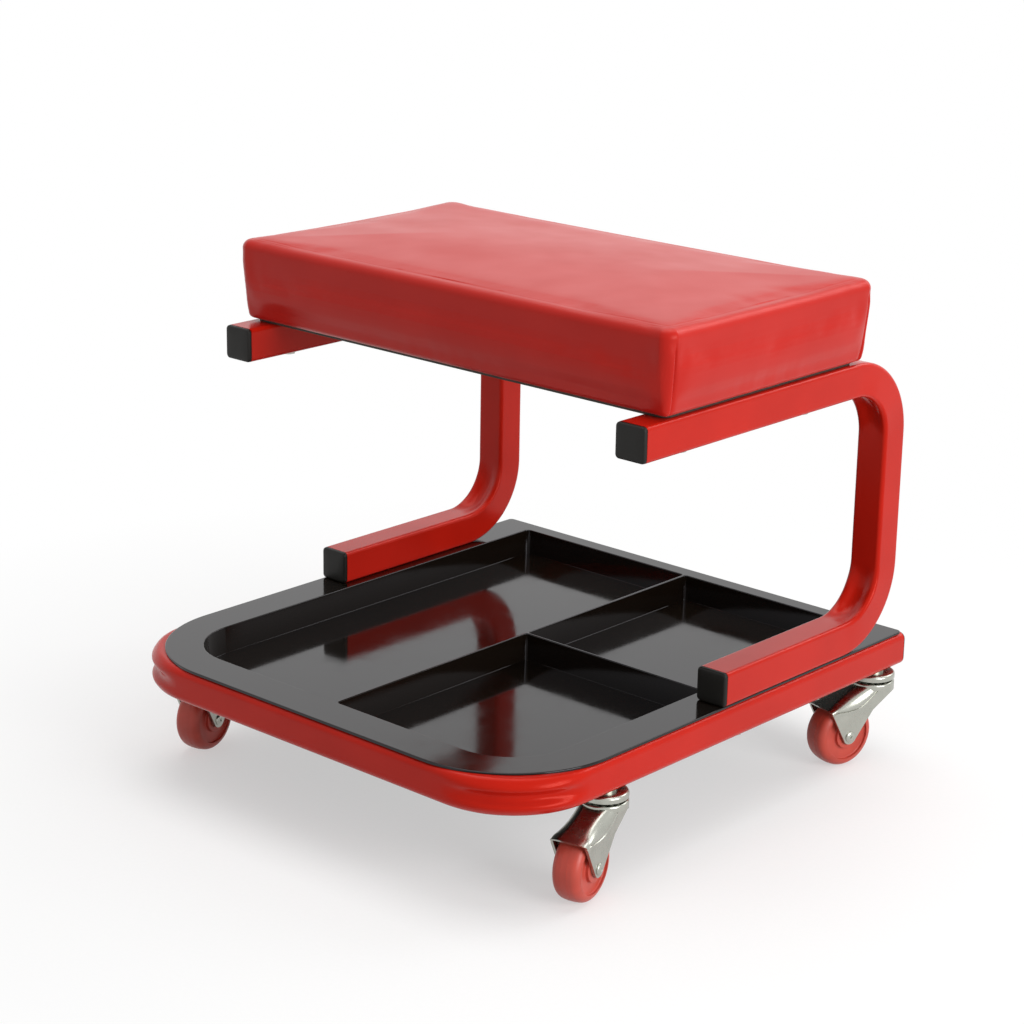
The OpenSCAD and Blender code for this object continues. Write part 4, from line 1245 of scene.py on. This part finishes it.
def ring_tree(name, vertices):
    """Rings that stand on each point: washers, or nuts where the outline has six corners."""
    tree, given = start_tree(name, [
        ("Outer Radius", "Float"), ("Hole Radius", "Float"), ("Height", "Float"),
        ("Turn", "Vector")])
    height = given["Height"]
    middle, through = [
        node(tree, "ShaderNodeMath", {0: height, 1: share}, operation="MULTIPLY").outputs[0]
        for share in (0.5, 2.0)]
    body = raised_cylinder(tree, vertices, given["Outer Radius"], height, middle)
    hole = raised_cylinder(tree, 32, given["Hole Radius"], through, middle)
    cut = node(tree, "GeometryNodeMeshBoolean", {"Mesh 1": body, "Mesh 2": hole},
               operation="DIFFERENCE")
    return end_tree(tree, given, cut.outputs["Mesh"])


def ball_tree():
    """A ring of balls round each point."""
    tree, given = start_tree("bearing_balls", [
        ("Count", "Int"), ("Ring Radius", "Float"), ("Ball Radius", "Float")])
    ring = node(tree, "GeometryNodeMeshCircle", {
        "Vertices": given["Count"], "Radius": given["Ring Radius"]}).outputs["Mesh"]
    ball = node(tree, "GeometryNodeMeshUVSphere", {
        "Segments": 20, "Rings": 12, "Radius": given["Ball Radius"]}).outputs["Mesh"]
    balls = node(tree, "GeometryNodeInstanceOnPoints", {"Points": ring, "Instance": ball})
    return end_tree(tree, given, balls.outputs[0], turned=False)


def bake_tree(name, tree, places, values, slot, replaced, sharp=30.0):
    """Runs a tree on points and keeps its result as a plain mesh."""
    mesh = bpy.data.meshes.new(name)
    mesh.from_pydata(places, [], [])
    made = place_object(name, mesh)
    modifier = made.modifiers.new("repeated", "NODES")
    modifier.node_group = tree
    values = dict(values, Material=MATERIALS[slot])
    for item in tree.interface.items_tree:
        if item.in_out == "INPUT" and item.name in values:
            modifier[item.identifier] = values[item.name]
    apply_modifiers(made)
    made.data.shade_smooth()
    made.data.set_sharp_from_angle(angle=math.radians(sharp))
    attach(made, "root")
    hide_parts(replaced)


def solid_places(name, z):
    """The centre in plan of each separate solid of a node, at one height."""
    bm = bmesh.new()
    bm.from_mesh(frame["nodes"][name].data)
    bmesh.ops.remove_doubles(bm, verts=bm.verts, dist=0.02 * MM)
    places, left = [], set(bm.verts)
    while left:
        group, queue = [], [left.pop()]
        while queue:
            vert = queue.pop()
            group.append(vert.co.copy())
            for edge in vert.link_edges:
                other = edge.other_vert(vert)
                if other in left:
                    left.remove(other)
                    queue.append(other)
        xs, ys = [c.x for c in group], [c.y for c in group]
        places.append(((min(xs) + max(xs)) / 2, (min(ys) + max(ys)) / 2, z))
    bm.free()
    return sorted(places)


def build_fasteners(sizes):
    """Bolts, washers, nuts and bearing balls, each set from one tree."""
    bolts, rings = hex_bolt_tree(), ball_tree()
    washers, nuts = ring_tree("round_washers", 40), ring_tree("hex_nuts", 6)
    washer_room, nut_room = 0.3 * MM, 0.1 * MM
    for group in ("frame", "seat"):
        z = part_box(group + "_washers")[0].z
        bake_tree(group + "_hex_bolts", bolts, solid_places(group + "_bolts", z), {
            "Across Flats": sizes.across_flats, "Head Height": sizes.head,
            "Shank Diameter": sizes.shank, "Shank Length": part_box(group + "_bolts")[1].z - z,
            "Turn": (0.0, 0.0, 0.3)}, "zinc_plated_steel", group + "_bolts")
        bake_tree(group + "_round_washers", washers, solid_places(group + "_washers", z), {
            "Outer Radius": sizes.washer / 2, "Hole Radius": sizes.shank / 2 + washer_room,
            "Height": sizes.washer_wall}, "zinc_plated_steel", group + "_washers")
    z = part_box("frame_nuts")[0].z
    bake_tree("frame_hex_nuts", nuts, solid_places("frame_nuts", z), {
        "Outer Radius": sizes.across_flats / math.sqrt(3),
        "Hole Radius": sizes.shank / 2 + nut_room, "Height": sizes.nut,
        "Turn": (0.0, 0.0, 0.1)}, "zinc_plated_steel", "frame_nuts")
    for name in CASTERS:
        low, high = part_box(name + "_balls")
        radius = (high.z - low.z) / 2
        bake_tree(name + "_bearing_balls", rings, [tuple((low + high) / 2)], {
            "Count": sizes.balls, "Ring Radius": (high.x - low.x) / 2 - radius,
            "Ball Radius": radius}, "bearing_steel", name + "_balls", sharp=180.0)


# Stage

# Name, place, side and power of each softbox, and the place they face
LAMPS = (
    ("key_softbox", (2.3, -0.1, 0.85), 1.3, 34.0),
    ("top_softbox", (-0.2, 0.3, 2.6), 2.2, 36.0),
    ("rear_softbox", (0.6, 1.75, 1.5), 0.9, 8.0),
)
LAMP_TARGET = Vector((0, 0, 0.18))
# Strength of the air as a light. What sees it sees plain white.
AIR_LIGHT = 0.36
CAMERA_PLACE = (1.2015, -1.3448, 0.7578)
CAMERA_AZIMUTH, CAMERA_ELEVATION, CAMERA_ROLL = 41.8, 17.5, 1.0
CAMERA_LENS, CAMERA_SHIFT = 90.88, (-0.0046, 0.0058)


def build_stage():
    """Pale floor, even soft light and the camera."""
    bpy.context.scene.view_settings.view_transform = "Standard"
    add_floor()
    add_air()
    for lamp in LAMPS:
        add_lamp(*lamp)
    add_camera()


def add_floor():
    """A round of white paper under the object."""
    mesh = bpy.data.meshes.new("studio_floor")
    bm = bmesh.new()
    bmesh.ops.create_circle(bm, cap_ends=True, segments=96, radius=9.0)
    bm.to_mesh(mesh)
    bm.free()
    floor = place_object("studio_floor", mesh)
    floor.data.materials.append(floor_material())


def add_air():
    """Even light from all round, which the camera, gloss and glass see as white."""
    world = bpy.data.worlds.new("studio_air")
    bpy.context.scene.world = world
    world.use_nodes = True
    tree = world.node_tree
    tree.nodes.clear()
    path = node(tree, "ShaderNodeLightPath")
    seen = node(tree, "ShaderNodeMath", {
        0: path.outputs["Is Camera Ray"], 1: path.outputs["Is Glossy Ray"]}, operation="MAXIMUM")
    seen = node(tree, "ShaderNodeMath", {
        0: seen.outputs[0], 1: path.outputs["Is Transmission Ray"]}, operation="MAXIMUM")
    strength = node(tree, "ShaderNodeMapRange", {
        "Value": seen.outputs[0], "To Min": AIR_LIGHT, "To Max": 1.0})
    air = node(tree, "ShaderNodeBackground", {
        "Color": (1, 1, 1, 1), "Strength": strength.outputs["Result"]})
    node(tree, "ShaderNodeOutputWorld", {"Surface": air.outputs[0]})


def floor_material():
    """Matt white paper that keeps the shadow, and fades to plain white away from the object. The fade is a painted
    glow: for camera and glossy rays the floor gives off white light, half of it near the object, which thins the
    shadow there.
    """
    material, tree, place = start_material("white_paper_floor")
    away = node(tree, "ShaderNodeVectorMath", {0: place}, operation="LENGTH")
    path = node(tree, "ShaderNodeLightPath")
    seen = node(tree, "ShaderNodeMath", {
        0: path.outputs["Is Camera Ray"], 1: path.outputs["Is Glossy Ray"]}, operation="MAXIMUM")
    # Painted light: the share of the floor's own white glow, half within 0.3 m of its middle where it thins the
    # object's shadow, and full beyond 0.68 m
    lift = node(tree, "ShaderNodeMapRange", {
        "Value": away.outputs["Value"], "From Min": 0.3, "From Max": 0.68, "To Min": 0.5})
    share = node(tree, "ShaderNodeMath", {
        0: lift.outputs["Result"], 1: seen.outputs[0]}, operation="MULTIPLY")
    fibre = node(tree, "ShaderNodeTexNoise", {
        "Vector": place, "Scale": 1 / (3 * MM), "Detail": 2.0})
    white = node(tree, "ShaderNodeMix", {
        SHARE: fibre.outputs["Fac"], FIRST: linear("#FAFAF9"), SECOND: linear("#FFFFFF")},
        data_type="RGBA")
    paper = node(tree, "ShaderNodeMix", {
        SHARE: seen.outputs[0], FIRST: linear("#C6C6C6"), SECOND: white.outputs[MIXED]},
        data_type="RGBA")
    matt = node(tree, "ShaderNodeBsdfDiffuse", {"Color": paper.outputs[MIXED]})
    # The painted glow: white light that the floor gives off though it is no lamp
    plain = node(tree, "ShaderNodeEmission", {"Color": (1, 1, 1, 1), "Strength": 1.0})
    both = node(tree, "ShaderNodeMixShader", {
        0: share.outputs[0], 1: matt.outputs[0], 2: plain.outputs[0]})
    node(tree, "ShaderNodeOutputMaterial", {"Surface": both.outputs[0]})
    return material


def add_lamp(name, place, size, power):
    """A square softbox that faces the object."""
    data = bpy.data.lights.new(name, "AREA")
    data.size = size
    data.energy = power
    lamp = place_object(name, data)
    lamp.location = place
    lamp.rotation_euler = (LAMP_TARGET - Vector(place)).to_track_quat("-Z", "Y").to_euler()


def add_camera():
    """The camera at the photograph's angle."""
    data = bpy.data.cameras.new("photo_camera")
    data.lens = CAMERA_LENS
    data.sensor_width = 36.0
    data.shift_x, data.shift_y = CAMERA_SHIFT
    data.clip_start, data.clip_end = 0.05, 50.0
    camera = place_object("photo_camera", data)
    a, e, r = map(math.radians, (CAMERA_AZIMUTH, CAMERA_ELEVATION, CAMERA_ROLL))
    back = Vector((math.sin(a) * math.cos(e), -math.cos(a) * math.cos(e), math.sin(e)))
    right = (-back).cross(Vector((0, 0, 1))).normalized()
    up = right.cross(-back)
    turned_right = right * math.cos(r) + up * math.sin(r)
    turned_up = up * math.cos(r) - right * math.sin(r)
    basis = Matrix((turned_right, turned_up, back)).transposed()
    camera.matrix_world = Matrix.Translation(CAMERA_PLACE) @ basis.to_4x4()
    bpy.context.scene.camera = camera


# Operators

class OBJECT_OT_creeper_stage(bpy.types.Operator):
    """Set the floor, the light and the camera"""

    bl_idname = "object.creeper_stage"
    bl_label = "Stage"

    def execute(self, context):
        build_stage()
        return {"FINISHED"}


class OBJECT_OT_creeper_finishes(bpy.types.Operator):
    """Make the finishes and put them on the frame's own nodes"""

    bl_idname = "object.creeper_finishes"
    bl_label = "Finishes"

    def execute(self, context):
        make_materials(context.scene.creeper_finish)
        slots = [m["slot"] for m in frame["record"]["materials"]]
        for name, part in frame["nodes"].items():
            for index, slot in enumerate(part.material_slots):
                known = next((s for s in slots if slot.material and s in slot.material.name), None)
                if known is None:
                    raise RuntimeError(f"{name} has a finish that the record doesn't name")
                part.material_slots[index].material = MATERIALS[known]
        return {"FINISHED"}


class OBJECT_OT_creeper_base_frame(bpy.types.Operator):
    """Build the bent base frame with its rear bar and welds"""

    bl_idname = "object.creeper_base_frame"
    bl_label = "Base Frame"

    def execute(self, context):
        build_base_frame(context.scene.creeper_base)
        build_weld_beads(context.scene.creeper_base)
        return {"FINISHED"}


class OBJECT_OT_creeper_side_frames(bpy.types.Operator):
    """Build the two C frames"""

    bl_idname = "object.creeper_side_frames"
    bl_label = "Side Frames"

    def execute(self, context):
        scene = context.scene
        for side in (-1, 1):
            build_side_frame(side, scene.creeper_base, scene.creeper_sides)
        return {"FINISHED"}


class OBJECT_OT_creeper_caps(bpy.types.Operator):
    """Build the caps of the arms and the plugs of the rails"""

    bl_idname = "object.creeper_caps"
    bl_label = "Caps and Plugs"

    def execute(self, context):
        base, sizes = context.scene.creeper_base, context.scene.creeper_sides
        for side in ("left", "right"):
            for level in ("upper", "lower"):
                build_end_cap(f"{side}_{level}_cap", -1, sizes, sizes.corner, base.wall)
            build_end_cap(f"{side}_rail_plug", 1, sizes, base.corner, base.wall)
        return {"FINISHED"}


class OBJECT_OT_creeper_tray(bpy.types.Operator):
    """Build the moulded tray"""

    bl_idname = "object.creeper_tray"
    bl_label = "Tray"

    def execute(self, context):
        build_tray(context.scene.creeper_tray)
        return {"FINISHED"}


class OBJECT_OT_creeper_cushion(bpy.types.Operator):
    """Build the padded seat with its folded corners"""

    bl_idname = "object.creeper_cushion"
    bl_label = "Cushion"

    def execute(self, context):
        build_board()
        build_cushion(context.scene.creeper_cushion)
        return {"FINISHED"}


class OBJECT_OT_creeper_casters(bpy.types.Operator):
    """Build the dressed pieces of the four casters"""

    bl_idname = "object.creeper_casters"
    bl_label = "Casters"

    def execute(self, context):
        scene = context.scene
        for name in CASTERS:
            build_wheel(name, scene.creeper_casters)
            build_axle(name, scene.creeper_fasteners)
        build_forks(scene.creeper_casters)
        return {"FINISHED"}


class OBJECT_OT_creeper_fasteners(bpy.types.Operator):
    """Build the bolts, washers, nuts and bearing balls"""

    bl_idname = "object.creeper_fasteners"
    bl_label = "Fasteners"

    def execute(self, context):
        build_fasteners(context.scene.creeper_fasteners)
        return {"FINISHED"}


class VIEW3D_PT_creeper_seat(bpy.types.Panel):
    """The creeper seat's pieces, sizes and colours"""

    bl_idname = "VIEW3D_PT_creeper_seat"
    bl_label = "Creeper Seat"
    bl_space_type = "VIEW_3D"
    bl_region_type = "UI"
    bl_category = "Creeper Seat"

    def draw(self, context):
        layout = self.layout
        for operator in STEPS:
            layout.operator(operator.bl_idname)
        for name in GROUPS:
            box = layout.box()
            group = getattr(context.scene, name)
            for key in group.__annotations__:
                box.prop(group, key)


STEPS = (
    OBJECT_OT_creeper_stage, OBJECT_OT_creeper_finishes, OBJECT_OT_creeper_base_frame,
    OBJECT_OT_creeper_side_frames, OBJECT_OT_creeper_caps, OBJECT_OT_creeper_tray,
    OBJECT_OT_creeper_cushion, OBJECT_OT_creeper_casters, OBJECT_OT_creeper_fasteners,
)
GROUPS = {
    "creeper_base": BaseFrameSizes, "creeper_sides": SideFrameSizes,
    "creeper_tray": TraySizes, "creeper_cushion": CushionSizes,
    "creeper_casters": CasterSizes, "creeper_fasteners": FastenerSizes,
    "creeper_finish": FinishColours,
}
CLASSES = (*GROUPS.values(), *STEPS, VIEW3D_PT_creeper_seat)


def register():
    """Registers the classes and hangs the settings on the scene."""
    for item in CLASSES:
        bpy.utils.register_class(item)
    for name, group in GROUPS.items():
        setattr(bpy.types.Scene, name, bpy.props.PointerProperty(type=group))


def unregister():
    """Takes the settings and the classes away."""
    for name in GROUPS:
        delattr(bpy.types.Scene, name)
    for item in reversed(CLASSES):
        bpy.utils.unregister_class(item)


def main():
    """Builds everything in order."""
    register()
    for step in STEPS:
        group, name = step.bl_idname.split(".")
        getattr(getattr(bpy.ops, group), name)()


if __name__ == "__main__":
    main()
